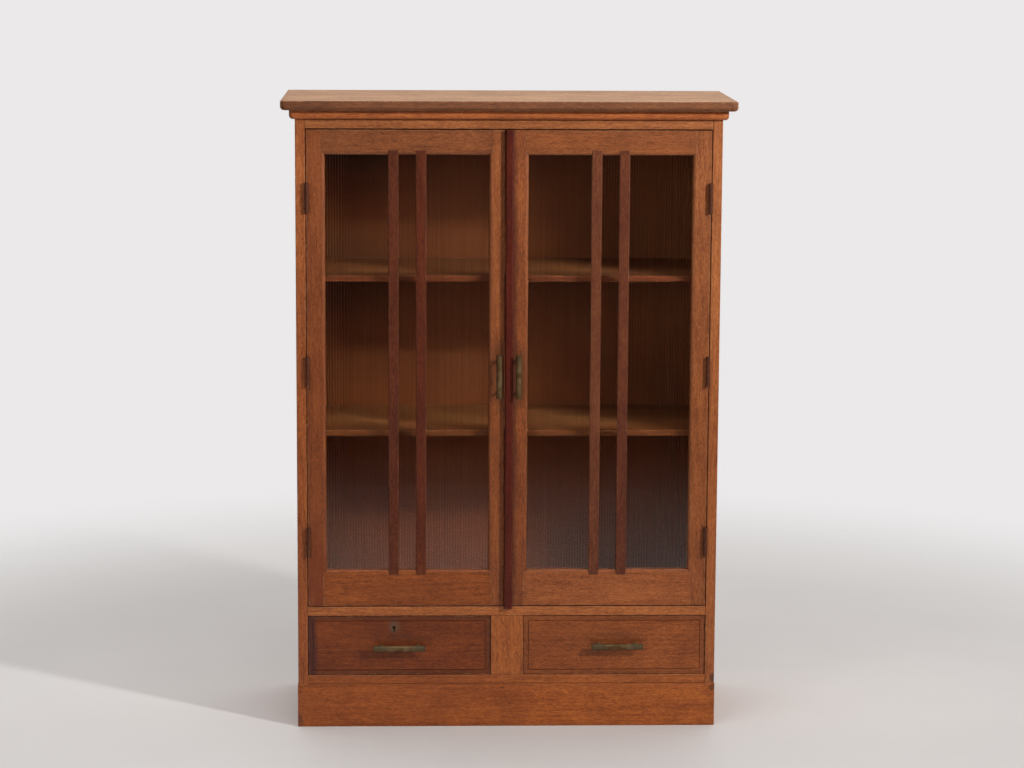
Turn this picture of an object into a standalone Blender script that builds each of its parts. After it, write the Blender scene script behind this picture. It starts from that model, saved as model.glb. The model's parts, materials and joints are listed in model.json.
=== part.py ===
"""Glazed display cabinet with two hinged doors and two drawers.

Metres, +Z up. The front looks along -Y and the origin is on the floor under the
middle of the whole cabinet. Every board, rail, hinge and pull is its own solid.
"""

import math

import bmesh
import bpy
from mathutils import Matrix, Vector

# Overall sizes of the case
CASE_WIDTH = 1.000
CASE_DEPTH = 0.405
TOTAL_HEIGHT = 1.503
SIDE_THICKNESS = 0.023
ARRIS = 0.0012

# Top board and the board beneath it
TOP_THICKNESS = 0.0222
TOP_SIDE_OVERHANG = 0.033
TOP_FRONT_OVERHANG = 0.035
TOP_LOWER_RADIUS = 0.009
TOP_UPPER_RADIUS = 0.0025
TOP_CORNER_RADIUS = 0.013
CORNICE_THICKNESS = 0.0217
CORNICE_OVERHANG = 0.0133
CORNICE_RADIUS = 0.009
CORNICE_CORNER_RADIUS = 0.0115

# Heights of the front, from the floor upwards
PLINTH_HEIGHT = 0.105
BASE_RAIL_HEIGHT = 0.0213
DRAWER_OPENING = 0.1463
WAIST_THICKNESS = 0.0221
FRIEZE_HEIGHT = 0.0220

# Plinth, rails and inner boards
PLINTH_THICKNESS = 0.020
PLINTH_PROUD = 0.0013
PLINTH_CHAMFER_HEIGHT = 0.009
PLINTH_CHAMFER_DEPTH = 0.0035
BASE_RAIL_DEPTH = 0.040
BASE_RAIL_ROUND = 0.0025
WAIST_DEPTH = 0.060
CENTRE_STILE_WIDTH = 0.0774
CENTRE_STILE_THICKNESS = 0.020
PARTITION_THICKNESS = 0.018
GUIDE_HEIGHT = 0.022
BOTTOM_BOARD_THICKNESS = 0.018
FOOT_RAIL_THICKNESS = 0.020
BACK_THICKNESS = 0.006
BACK_REBATE_DEPTH = 0.009
BACK_REBATE_WIDTH = 0.009
BACK_LAP = 0.020
DOOR_STOP_DROP = 0.012
DOOR_STOP_THICKNESS = 0.014

# Shelves, measured up from the cabinet floor to their upper faces
SHELF_THICKNESS = 0.0145
LOWER_SHELF_RISE = 0.4234
UPPER_SHELF_RISE = 0.7937
SHELF_SETBACK = 0.034
SHELF_END_GAP = 0.0008
SHELF_BACK_GAP = 0.0015
BEARER_WIDTH = 0.012
BEARER_HEIGHT = 0.014
BEARER_INSET = 0.020

# Doors
DOOR_THICKNESS = 0.022
DOOR_SIDE_GAP = 0.0020
DOOR_TOP_GAP = 0.0026
DOOR_BOTTOM_GAP = 0.0026
DOOR_REST_GAP = 0.0006
MEETING_X = -0.0087
MEETING_GAP = 0.0020
HINGE_STILE_WIDTH = 0.0433
MEETING_SIGHT = 0.0455
TOP_RAIL_WIDTH = 0.0584
BOTTOM_RAIL_WIDTH = 0.0867
LIP_WIDTH = 0.0076
LIP_THICKNESS = 0.009
LIP_ROUND_DEPTH = 0.0055
REBATE_EXTRA = 0.0006
MITRE_SHIFT = 0.0001
BAR_WIDTH = 0.0244
BAR_SPACING = 0.0652
BAR_PROUD = 0.0010
BAR_ROUND_WIDTH = 0.0070
BAR_ROUND_DEPTH = 0.0058
BAR_LAP = 0.0113

# Bead on the right door's meeting edge
BEAD_WIDTH = 0.0190
BEAD_PROJECTION = 0.0125
BEAD_ROUND = 0.0045
BEAD_OVERHANG = 0.0067

# Reeded panes and the loose beads behind them
PANE_THICKNESS = 0.0040
REED_PITCH = 0.0064
REED_HEIGHT = 0.0009
PANE_EDGE_GAP = 0.0010
GLAZING_BEAD_WIDTH = 0.0085
GLAZING_BEAD_THICKNESS = 0.0068

# Butt hinges
HINGE_HEIGHT = 0.071
HINGE_KNUCKLES = 5
KNUCKLE_GAP = 0.0004
KNUCKLE_RADIUS = 0.0050
PIN_RADIUS = 0.0020
PIN_CLEARANCE = 0.0003
LEAF_THICKNESS = 0.0015
LEAF_WIDTH = 0.0195
LEAF_GAP = 0.0006
KNUCKLE_FACE_GAP = 0.0003
HINGE_AXIS_INSET = 0.0038
TOP_HINGE_DROP = 0.1585
BOTTOM_HINGE_RISE = 0.1562

# Door and drawer pulls
DOOR_PULL_LENGTH = 0.105
DOOR_PULL_WIDTH = 0.014
DOOR_PULL_POST_SPACING = 0.0765
DOOR_PULL_RISE = 0.5570
LEFT_PULL_X = -0.0215
RIGHT_PULL_X = 0.0246
DRAWER_PULL_LENGTH = 0.124
DRAWER_PULL_WIDTH = 0.0148
DRAWER_PULL_POST_SPACING = 0.088
LEFT_DRAWER_PULL_DROP = 0.0031
RIGHT_DRAWER_PULL_DROP = 0.0002
RIGHT_DRAWER_PULL_SHIFT = 0.0066
PULL_THICKNESS = 0.0085
PULL_STANDOFF = 0.0195
POST_RADIUS = 0.0045

# Drawers
DRAWER_FRONT_THICKNESS = 0.020
DRAWER_FRONT_RECESS = 0.0035
DRAWER_SIDE_GAP = 0.0015
DRAWER_TOP_GAP = 0.0020
DRAWER_BOTTOM_GAP = 0.0012
BORDER_WIDTH = 0.0125
BORDER_SINK = 0.0008
GROOVE_WIDTH = 0.0022
GROOVE_DEPTH = 0.0026
BOX_SIDE_THICKNESS = 0.011
BOX_BACK_THICKNESS = 0.011
BOX_BOTTOM_THICKNESS = 0.006
BOX_BOTTOM_RISE = 0.010
BOX_TOP_GAP = 0.013
BOX_BACK_GAP = 0.018
RUN_CLEARANCE = 0.0005
TAIL_COUNT = 3
TAIL_LENGTH = 0.012
TAIL_SPREAD = 0.0026
TAIL_FIT = 0.0003

# Lock of the left drawer
KEYHOLE_OFFSET = -0.0126
KEYHOLE_DROP = 0.0272
KEYHOLE_RADIUS = 0.0034
KEYHOLE_SLOT = 0.0030
KEYHOLE_TAIL = 0.0120
LINER_WALL = 0.0010
LOCK_WIDTH = 0.060
LOCK_HEIGHT = 0.048
LOCK_THICKNESS = 0.009
LOCK_BLIND = 0.0025

# Gap between meshes that touch
GAP = 0.0003

# Levels and planes that follow from the sizes
FRONT = (TOP_FRONT_OVERHANG - CASE_DEPTH) / 2
BACK = FRONT + CASE_DEPTH
INNER_X = CASE_WIDTH / 2 - SIDE_THICKNESS
INNER_BACK = BACK - BACK_REBATE_DEPTH
BASE_TOP = PLINTH_HEIGHT + BASE_RAIL_HEIGHT
WAIST_LOW = BASE_TOP + DRAWER_OPENING
WAIST_TOP = WAIST_LOW + WAIST_THICKNESS
TOP_LOW = TOTAL_HEIGHT - TOP_THICKNESS
CORNICE_LOW = TOP_LOW - CORNICE_THICKNESS
FRIEZE_LOW = CORNICE_LOW - FRIEZE_HEIGHT
FRIEZE_DEPTH = DOOR_THICKNESS + DOOR_REST_GAP - GAP
DOOR_LOW = WAIST_TOP + DOOR_BOTTOM_GAP
DOOR_TOP = FRIEZE_LOW - DOOR_TOP_GAP
DOOR_EDGE_X = INNER_X - DOOR_SIDE_GAP
GLASS_LOW = DOOR_LOW + BOTTOM_RAIL_WIDTH
GLASS_TOP = DOOR_TOP - TOP_RAIL_WIDTH
GLASS_OUTER = DOOR_EDGE_X - HINGE_STILE_WIDTH
HINGE_X = INNER_X - HINGE_AXIS_INSET
HINGE_Y = FRONT - KNUCKLE_RADIUS - KNUCKLE_FACE_GAP
HINGE_MIDDLES = (
    DOOR_TOP - TOP_HINGE_DROP,
    (DOOR_TOP - TOP_HINGE_DROP + DOOR_LOW + BOTTOM_HINGE_RISE) / 2,
    DOOR_LOW + BOTTOM_HINGE_RISE,
)
HINGE_NAMES = ("top", "middle", "bottom")
REBATE = LIP_WIDTH + REBATE_EXTRA
DRAWER_FRONT_Y = FRONT + DRAWER_FRONT_RECESS

COLOURS = {
    "oak": ((0.270, 0.105, 0.043, 1.0), 0.45, 0.0),
    "red_oak": ((0.130, 0.038, 0.022, 1.0), 0.40, 0.0),
    "inner_oak": ((0.330, 0.170, 0.080, 1.0), 0.60, 0.0),
    "reeded_glass": ((0.850, 0.900, 0.870, 1.0), 0.05, 0.0),
    "aged_brass": ((0.260, 0.200, 0.105, 1.0), 0.42, 1.0),
    "dark_iron": ((0.060, 0.045, 0.036, 1.0), 0.50, 1.0),
}


def clear_scene():
    """Remove every object, so that the model starts empty."""
    for item in list(bpy.data.objects):
        bpy.data.objects.remove(item, do_unlink=True)


def make_collection(name):
    """Give the scene a collection of this name."""
    made = bpy.data.collections.new(name)
    bpy.context.scene.collection.children.link(made)
    return made


def make_materials():
    """One Principled material for each finish."""
    made = {}
    for name, (colour, rough, metal) in COLOURS.items():
        finish = bpy.data.materials.new(name)
        finish.use_nodes = True
        shader = finish.node_tree.nodes["Principled BSDF"]
        shader.inputs["Base Color"].default_value = colour
        shader.inputs["Roughness"].default_value = rough
        shader.inputs["Metallic"].default_value = metal
        finish.diffuse_color = colour
        made[name] = finish
    return made


clear_scene()
PARTS = make_collection("display_cabinet")
CUTTERS = make_collection("cutters")
FINISH = make_materials()


def place(item, name, finish, parent=None):
    """Name an object, give it its material and hang it on its joint's empty."""
    item.name = name
    item.data.name = name
    item.data.materials.clear()
    item.data.materials.append(FINISH[finish])
    for holder in list(item.users_collection):
        holder.objects.unlink(item)
    PARTS.objects.link(item)
    if parent is not None:
        item.parent = parent
        item.location = item.location - parent.location
    return item


def as_cutter(item, name):
    """Turn an object into a hidden cutting tool."""
    item.name = name
    for holder in list(item.users_collection):
        holder.objects.unlink(item)
    CUTTERS.objects.link(item)
    item.hide_render = True
    item.display_type = "WIRE"
    return item


def block(low, high):
    """A box between two corners, with its origin in its middle."""
    low = Vector(low)
    high = Vector(high)
    mesh = bpy.data.meshes.new("block")
    shape = bmesh.new()
    bmesh.ops.create_cube(shape, size=1.0)
    bmesh.ops.scale(shape, vec=high - low, verts=shape.verts)
    shape.to_mesh(mesh)
    shape.free()
    item = bpy.data.objects.new("block", mesh)
    item.location = (low + high) / 2
    bpy.context.scene.collection.objects.link(item)
    return item


def round_edges(item, chosen, radius, segments):
    """Round the edges of a box whose middles, in world space, pass the test."""
    shape = bmesh.new()
    shape.from_mesh(item.data)
    spot = Matrix.Translation(item.location)
    edges = []
    for edge in shape.edges:
        ends = [spot @ corner.co for corner in edge.verts]
        if chosen(ends[0], ends[1]):
            edges.append(edge)
    bmesh.ops.bevel(
        shape,
        geom=edges,
        offset=radius,
        segments=segments,
        profile=0.5,
        affect="EDGES",
        clamp_overlap=True,
    )
    shape.to_mesh(item.data)
    shape.free()
    return item


def ease(item, width=ARRIS, segments=1):
    """Take the sharp arrises off with a Bevel modifier."""
    bevel = item.modifiers.new("arris", "BEVEL")
    bevel.width = width
    bevel.segments = segments
    bevel.limit_method = "ANGLE"
    bevel.angle_limit = math.radians(40)
    return item


def board(name, low, high, finish="oak", parent=None, arris=ARRIS):
    """A planed board with eased arrises."""
    item = block(low, high)
    place(item, name, finish, parent)
    if arris > 0:
        ease(item, arris)
    return item


def cut(item, cutter):
    """Take the cutter's volume out of an object."""
    step = item.modifiers.new("cut", "BOOLEAN")
    step.operation = "DIFFERENCE"
    step.solver = "EXACT"
    step.object = cutter
    return item


def join(item, other):
    """Add the other solid's volume to an object."""
    step = item.modifiers.new("join", "BOOLEAN")
    step.operation = "UNION"
    step.solver = "EXACT"
    step.object = other
    return item


def to_mesh_object(item, name):
    """Make a curve object a mesh object with welded caps."""
    bpy.context.view_layer.update()
    graph = bpy.context.evaluated_depsgraph_get()
    mesh = bpy.data.meshes.new_from_object(item.evaluated_get(graph))
    shape = bmesh.new()
    shape.from_mesh(mesh)
    bmesh.ops.remove_doubles(shape, verts=shape.verts, dist=0.000001)
    bmesh.ops.recalc_face_normals(shape, faces=shape.faces)
    shape.to_mesh(mesh)
    shape.free()
    made = bpy.data.objects.new(name, mesh)
    made.matrix_world = item.matrix_world.copy()
    bpy.context.scene.collection.objects.link(made)
    curve = item.data
    bpy.data.objects.remove(item, do_unlink=True)
    bpy.data.curves.remove(curve)
    return made


# Turns of the drawing plane: profile across, profile up, direction of extrusion
PLAN = Matrix(((1, 0, 0), (0, 1, 0), (0, 0, 1)))
ELEVATION = Matrix(((1, 0, 0), (0, 0, -1), (0, 1, 0)))
SECTION = Matrix(((0, 0, 1), (1, 0, 0), (0, 1, 0)))


def prism(loops, turn, low, high):
    """Extrude flat closed outlines from low to high along their normal.

    PLAN outlines are (x, y) and run along z. ELEVATION outlines are (x, z) and
    run along y. SECTION outlines are (y, z) and run along x.
    """
    curve = bpy.data.curves.new("outline", "CURVE")
    curve.dimensions = "2D"
    curve.fill_mode = "BOTH"
    curve.extrude = abs(high - low) / 2
    curve.render_resolution_u = 0
    for loop in loops:
        spline = curve.splines.new("POLY")
        spline.points.add(len(loop) - 1)
        for point, (across, up) in zip(spline.points, loop):
            point.co = (across, up, 0.0, 1.0)
        spline.use_cyclic_u = True
    item = bpy.data.objects.new("outline", curve)
    middle = (low + high) / 2
    normal = turn @ Vector((0, 0, 1))
    along = Vector((abs(normal.x), abs(normal.y), abs(normal.z)))
    item.rotation_mode = "QUATERNION"
    item.rotation_quaternion = turn.to_quaternion()
    item.location = along * middle
    bpy.context.scene.collection.objects.link(item)
    return to_mesh_object(item, "prism")


def quarter(centre, start, radii, steps):
    """Points of a quarter ellipse about a centre, from an angle in quarter turns."""
    points = []
    for step in range(steps + 1):
        angle = math.pi / 2 * (start + step / steps)
        points.append((centre[0] + radii[0] * math.cos(angle), centre[1] + radii[1] * math.sin(angle)))
    return points


def make_side(side, name):
    """A side board: rebated for the back and notched for the plinth."""
    outer = CASE_WIDTH / 2
    loop = [
        (INNER_X + ARRIS, FRONT),
        (outer - ARRIS, FRONT),
        (outer, FRONT + ARRIS),
        (outer, BACK),
        (INNER_X + BACK_REBATE_WIDTH, BACK),
        (INNER_X + BACK_REBATE_WIDTH, INNER_BACK),
        (INNER_X, INNER_BACK),
        (INNER_X, FRONT + ARRIS),
    ]
    loop = [(side * across, up) for across, up in loop]
    item = prism([loop], PLAN, 0.0, CORNICE_LOW - GAP)
    place(item, name, "oak")
    notch = block(
        (min(side * (INNER_X - 0.01), side * (outer + 0.01)), FRONT - 0.01, -0.01),
        (
            max(side * (INNER_X - 0.01), side * (outer + 0.01)),
            FRONT - PLINTH_PROUD + PLINTH_THICKNESS + GAP,
            PLINTH_HEIGHT + GAP,
        ),
    )
    cut(item, as_cutter(notch, name + "_notch"))
    return item


def rounded_board(name, overhang_x, overhang_y, low, high, lower, upper, corner):
    """A board that stands past the case, with rounded front and end edges."""
    wide = CASE_WIDTH / 2 + overhang_x
    front = FRONT - overhang_y
    item = block((-wide, front, low), (wide, BACK, high))

    def upright(first, second):
        return abs(first.z - second.z) > 0.001 and first.y < BACK - 0.001

    def rim(level):
        def test(first, second):
            flat = abs(first.z - level) < 0.00001 and abs(second.z - level) < 0.00001
            return flat and min(first.y, second.y) < BACK - 0.00001

        return test

    round_edges(item, upright, corner, 4)
    round_edges(item, rim(low), lower, 4)
    if upper > 0:
        round_edges(item, rim(high), upper, 2)
    place(item, name, "oak")
    item.data.shade_smooth()
    item.data.set_sharp_from_angle(angle=math.radians(35))
    return item


def make_case():
    """The fixed boards of the case."""
    make_side(-1, "side_left")
    make_side(1, "side_right")
    rounded_board(
        "top_board",
        TOP_SIDE_OVERHANG,
        TOP_FRONT_OVERHANG,
        TOP_LOW,
        TOTAL_HEIGHT,
        TOP_LOWER_RADIUS,
        TOP_UPPER_RADIUS,
        TOP_CORNER_RADIUS,
    )
    rounded_board(
        "cornice_board",
        CORNICE_OVERHANG,
        CORNICE_OVERHANG,
        CORNICE_LOW,
        TOP_LOW - GAP,
        CORNICE_RADIUS,
        0.0,
        CORNICE_CORNER_RADIUS,
    )
    wide = INNER_X - GAP
    board(
        "frieze_rail",
        (-wide, FRONT, FRIEZE_LOW),
        (wide, FRONT + FRIEZE_DEPTH, CORNICE_LOW - GAP),
    )
    stop_front = FRONT + FRIEZE_DEPTH + GAP
    board(
        "door_stop",
        (-wide, stop_front, FRIEZE_LOW - DOOR_STOP_DROP),
        (wide, stop_front + DOOR_STOP_THICKNESS, CORNICE_LOW - GAP),
        "inner_oak",
    )
    board(
        "waist_rail",
        (-wide, FRONT, WAIST_LOW),
        (wide, FRONT + WAIST_DEPTH, WAIST_TOP),
    )
    board(
        "cabinet_floor",
        (-wide, FRONT + WAIST_DEPTH + GAP, WAIST_LOW),
        (wide, INNER_BACK - GAP, WAIST_TOP),
        "inner_oak",
        arris=0.0,
    )
    half = CENTRE_STILE_WIDTH / 2
    board(
        "drawer_stile",
        (-half, FRONT, BASE_TOP + GAP),
        (half, FRONT + CENTRE_STILE_THICKNESS, WAIST_LOW - GAP),
    )
    make_partition()
    make_base_rail(wide)
    board(
        "bottom_board",
        (-wide, FRONT + BASE_RAIL_DEPTH + GAP, BASE_TOP - BOTTOM_BOARD_THICKNESS),
        (wide, INNER_BACK - GAP, BASE_TOP),
        "inner_oak",
        arris=0.0,
    )
    make_plinth()
    board(
        "back_foot_rail",
        (-wide, INNER_BACK - GAP - FOOT_RAIL_THICKNESS, 0.0),
        (wide, INNER_BACK - GAP, BASE_TOP - BOTTOM_BOARD_THICKNESS - GAP),
        "inner_oak",
    )
    back_wide = INNER_X + BACK_REBATE_WIDTH - GAP
    board(
        "back_panel",
        (-back_wide, INNER_BACK + GAP, PLINTH_HEIGHT - BACK_LAP),
        (back_wide, INNER_BACK + GAP + BACK_THICKNESS, CORNICE_LOW - GAP),
        "inner_oak",
        arris=0.0,
    )


def make_partition():
    """The board behind the drawer stile, with a foot that guides both drawers."""
    half = PARTITION_THICKNESS / 2
    foot = CENTRE_STILE_WIDTH / 2
    low = BASE_TOP + GAP
    loop = [
        (-foot, low),
        (foot, low),
        (foot, low + GUIDE_HEIGHT),
        (half, low + GUIDE_HEIGHT),
        (half, WAIST_LOW - GAP),
        (-half, WAIST_LOW - GAP),
        (-half, low + GUIDE_HEIGHT),
        (-foot, low + GUIDE_HEIGHT),
    ]
    item = prism([loop], ELEVATION, FRONT + CENTRE_STILE_THICKNESS + GAP, INNER_BACK - GAP)
    place(item, "drawer_partition", "inner_oak")


def make_base_rail(wide):
    """The rail under the drawers, its lower front edge rounded to a dark line."""
    low = PLINTH_HEIGHT + GAP
    loop = quarter(
        (FRONT + BASE_RAIL_ROUND, low + BASE_RAIL_ROUND),
        2,
        (BASE_RAIL_ROUND, BASE_RAIL_ROUND),
        3,
    )
    loop += [
        (FRONT + BASE_RAIL_DEPTH, low),
        (FRONT + BASE_RAIL_DEPTH, BASE_TOP),
        (FRONT + ARRIS, BASE_TOP),
        (FRONT, BASE_TOP - ARRIS),
    ]
    place(prism([loop], SECTION, -wide, wide), "base_rail", "oak")


def make_plinth():
    """The plinth board, with a stopped chamfer between the side boards."""
    wide = CASE_WIDTH / 2 + PLINTH_PROUD
    face = FRONT - PLINTH_PROUD
    item = board("plinth_front", (-wide, face, 0.0), (wide, face + PLINTH_THICKNESS, PLINTH_HEIGHT))
    slack = 0.004
    rise = PLINTH_CHAMFER_HEIGHT
    run = PLINTH_CHAMFER_DEPTH
    loop = [
        (face - slack * run / rise, PLINTH_HEIGHT - rise - slack),
        (face + run + slack * run / rise, PLINTH_HEIGHT + slack),
        (face - 3 * run, PLINTH_HEIGHT + slack),
        (face - 3 * run, PLINTH_HEIGHT - rise - slack),
    ]
    cutter = prism([loop], SECTION, -INNER_X, INNER_X)
    cut(item, as_cutter(cutter, "plinth_chamfer"))


def make_shelves():
    """Two shelves on plain wooden bearers."""
    wide = INNER_X - SHELF_END_GAP
    back = INNER_BACK - SHELF_BACK_GAP
    for name, rise in (("lower", LOWER_SHELF_RISE), ("upper", UPPER_SHELF_RISE)):
        top = WAIST_TOP + rise
        low = top - SHELF_THICKNESS
        board(
            name + "_shelf",
            (-wide, FRONT + SHELF_SETBACK, low),
            (wide, back, top),
            "inner_oak",
        )
        for side, word in ((-1, "left"), (1, "right")):
            ends = sorted((side * (INNER_X - GAP), side * (INNER_X - GAP - BEARER_WIDTH)))
            board(
                name + "_bearer_" + word,
                (ends[0], FRONT + SHELF_SETBACK + BEARER_INSET, low - GAP - BEARER_HEIGHT),
                (ends[1], back - BEARER_INSET, low - GAP),
                "inner_oak",
            )


def frame_section(width, across, deep):
    """Section of a door stile or rail: a plain back and a rounded front lip.

    The section runs from the outer edge to the opening. across turns a distance
    from the outer edge into a coordinate, deep turns a depth behind the face
    into the other coordinate.
    """
    body = width - REBATE
    points = [(0.0, ARRIS), (ARRIS, 0.0)]
    centre = (width - LIP_WIDTH, LIP_ROUND_DEPTH)
    arc = quarter(centre, 3, (LIP_WIDTH, LIP_ROUND_DEPTH), 4)
    points += arc
    points += [(width, LIP_THICKNESS), (body, LIP_THICKNESS), (body, DOOR_THICKNESS), (0.0, DOOR_THICKNESS)]
    return [(across(first), deep(second)) for first, second in points]


def depth(distance):
    """World y of a depth behind the door's face."""
    return FRONT + distance


def stile_section(edge, direction, width):
    """Plan of a stile whose outer edge is at x = edge and whose opening is further on."""
    return frame_section(width, lambda first: edge + direction * first, depth)


def make_stile(name, edge, direction, width, parent):
    """A stile with its lip cut back where the rails meet it."""
    item = prism([stile_section(edge, direction, width)], PLAN, DOOR_LOW, DOOR_TOP)
    place(item, name, "oak", parent)
    shoulder = edge + direction * (width - LIP_WIDTH)
    past = LIP_WIDTH + 0.004
    inner = shoulder + direction * past
    for level, way, word in ((GLASS_LOW, 1, "low"), (GLASS_TOP, -1, "high")):
        start = level - way * LIP_WIDTH + way * MITRE_SHIFT
        outside = DOOR_LOW - 0.01 if way > 0 else DOOR_TOP + 0.01
        loop = [
            (shoulder, outside),
            (shoulder, start),
            (inner, start + way * past),
            (inner, outside),
        ]
        cutter = prism([loop], ELEVATION, FRONT - 0.01, FRONT + DOOR_THICKNESS + 0.01)
        cut(item, as_cutter(cutter, name + "_lip_" + word))
    return item


def make_rail(name, level, direction, width, left, right, parent):
    """A rail between the stiles' shoulders, its lip mitred at both ends."""
    loop = frame_section(width, lambda first: level + direction * first, depth)
    loop = [(second, first) for first, second in loop]
    item = prism([loop], SECTION, left + GAP, right - GAP)
    place(item, name, "oak", parent)
    start = level + direction * (width - LIP_WIDTH)
    past = LIP_WIDTH + 0.004
    for shoulder, way, word in ((left, 1, "left"), (right, -1, "right")):
        corner = shoulder + way * (GAP + MITRE_SHIFT)
        loop = [
            (corner - way * 0.01, start),
            (corner, start),
            (corner + way * past, start + direction * past),
            (corner - way * 0.01, start + direction * past),
        ]
        cutter = prism([loop], ELEVATION, FRONT - 0.01, FRONT + DOOR_THICKNESS + 0.01)
        cut(item, as_cutter(cutter, name + "_mitre_" + word))
    return item


def cope_cutter(name, level, direction, width, left, right):
    """The rail's front, grown by the fit gap, that shapes the ends of the bars."""
    centre = (width - LIP_WIDTH, LIP_ROUND_DEPTH)
    arc = quarter(centre, 3, (LIP_WIDTH + GAP, LIP_ROUND_DEPTH + GAP), 6)
    behind = LIP_THICKNESS + 0.006
    points = [(width - BAR_LAP * 3, -GAP)] + arc
    points += [(width + GAP, behind), (width - BAR_LAP * 3, behind)]
    loop = [(depth(second), level + direction * first) for first, second in points]
    return as_cutter(prism([loop], SECTION, left, right), name)


def make_bar(name, middle, parent, copes):
    """A glazing bar, rounded in front and coped over both rails."""
    half = BAR_WIDTH / 2
    flat = half - BAR_ROUND_WIDTH
    face = -BAR_PROUD
    radii = (BAR_ROUND_WIDTH, BAR_ROUND_DEPTH)
    points = quarter((-flat, face + BAR_ROUND_DEPTH), 2, radii, 4)
    points += quarter((flat, face + BAR_ROUND_DEPTH), 3, radii, 4)
    points += [(half, LIP_THICKNESS), (-half, LIP_THICKNESS)]
    loop = [(middle + first, depth(second)) for first, second in points]
    item = prism([loop], PLAN, GLASS_LOW - BAR_LAP, GLASS_TOP + BAR_LAP)
    place(item, name, "red_oak", parent)
    for cope in copes:
        cut(item, cope)
    return item


def make_pane(name, left, right, parent):
    """A pane with upright reeds on its inner face."""
    low = left - REBATE + PANE_EDGE_GAP
    high = right + REBATE - PANE_EDGE_GAP
    front = depth(LIP_THICKNESS + GAP)
    back = front + PANE_THICKNESS
    count = int((high - low) / REED_PITCH)
    start = (low + high) / 2 - count * REED_PITCH / 2
    steps = 4
    points = [(low, front), (high, front), (high, back)]
    for reed in range(count, 0, -1):
        for step in range(steps):
            share = 1 - step / steps
            across = start + (reed - 1 + share) * REED_PITCH
            points.append((across, back + REED_HEIGHT * math.sin(math.pi * share)))
    points += [(start, back), (low, back)]
    bottom = GLASS_LOW - REBATE + PANE_EDGE_GAP
    top = GLASS_TOP + REBATE - PANE_EDGE_GAP
    item = prism([points], PLAN, bottom, top)
    place(item, name, "reeded_glass", parent)


def make_glazing_bead(name, left, right, parent):
    """The frame of beads that holds the pane in its rebate."""
    spread = REBATE - GAP
    low = GLASS_LOW - spread
    high = GLASS_TOP + spread
    outer = [(left - spread, low), (right + spread, low), (right + spread, high), (left - spread, high)]
    wide = GLAZING_BEAD_WIDTH
    inner = [
        (left - spread + wide, low + wide),
        (left - spread + wide, high - wide),
        (right + spread - wide, high - wide),
        (right + spread - wide, low + wide),
    ]
    front = depth(LIP_THICKNESS + GAP + PANE_THICKNESS + REED_HEIGHT + GAP)
    item = prism([outer, inner], ELEVATION, front, front + GLAZING_BEAD_THICKNESS)
    place(item, name, "inner_oak", parent)


def cylinder(radius, low, high, spot, sides):
    """An upright cylinder about the point (x, y) between two levels."""
    mesh = bpy.data.meshes.new("cylinder")
    shape = bmesh.new()
    bmesh.ops.create_cone(
        shape,
        cap_ends=True,
        segments=sides,
        radius1=radius,
        radius2=radius,
        depth=high - low,
    )
    shape.to_mesh(mesh)
    shape.free()
    item = bpy.data.objects.new("cylinder", mesh)
    item.location = (spot[0], spot[1], (low + high) / 2)
    bpy.context.scene.collection.objects.link(item)
    return item


def knuckle_levels(middle, index):
    """Lower and upper level of one knuckle, counted from the bottom."""
    pitch = (HINGE_HEIGHT + KNUCKLE_GAP) / HINGE_KNUCKLES
    low = middle - HINGE_HEIGHT / 2 + index * pitch
    return low, low + pitch - KNUCKLE_GAP


def leaf_outline(middle, first, reach):
    """Comb outline of a leaf: the plate, and a tab to each of its own knuckles."""
    low = middle - HINGE_HEIGHT / 2
    high = middle + HINGE_HEIGHT / 2
    edge = depth(GAP)
    tip = HINGE_Y + reach
    back = depth(LEAF_WIDTH)
    loop = [(back, low)]
    for index in range(HINGE_KNUCKLES):
        start, end = knuckle_levels(middle, index)
        if index % 2 == first:
            if index > 0:
                loop.append((edge, start))
            loop.append((tip, start))
            loop.append((tip, end))
            if index < HINGE_KNUCKLES - 1:
                loop.append((edge, end))
        elif index == 0:
            loop.append((edge, low))
        elif index == HINGE_KNUCKLES - 1:
            loop.append((edge, high))
    loop.append((back, high))
    return loop


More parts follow.
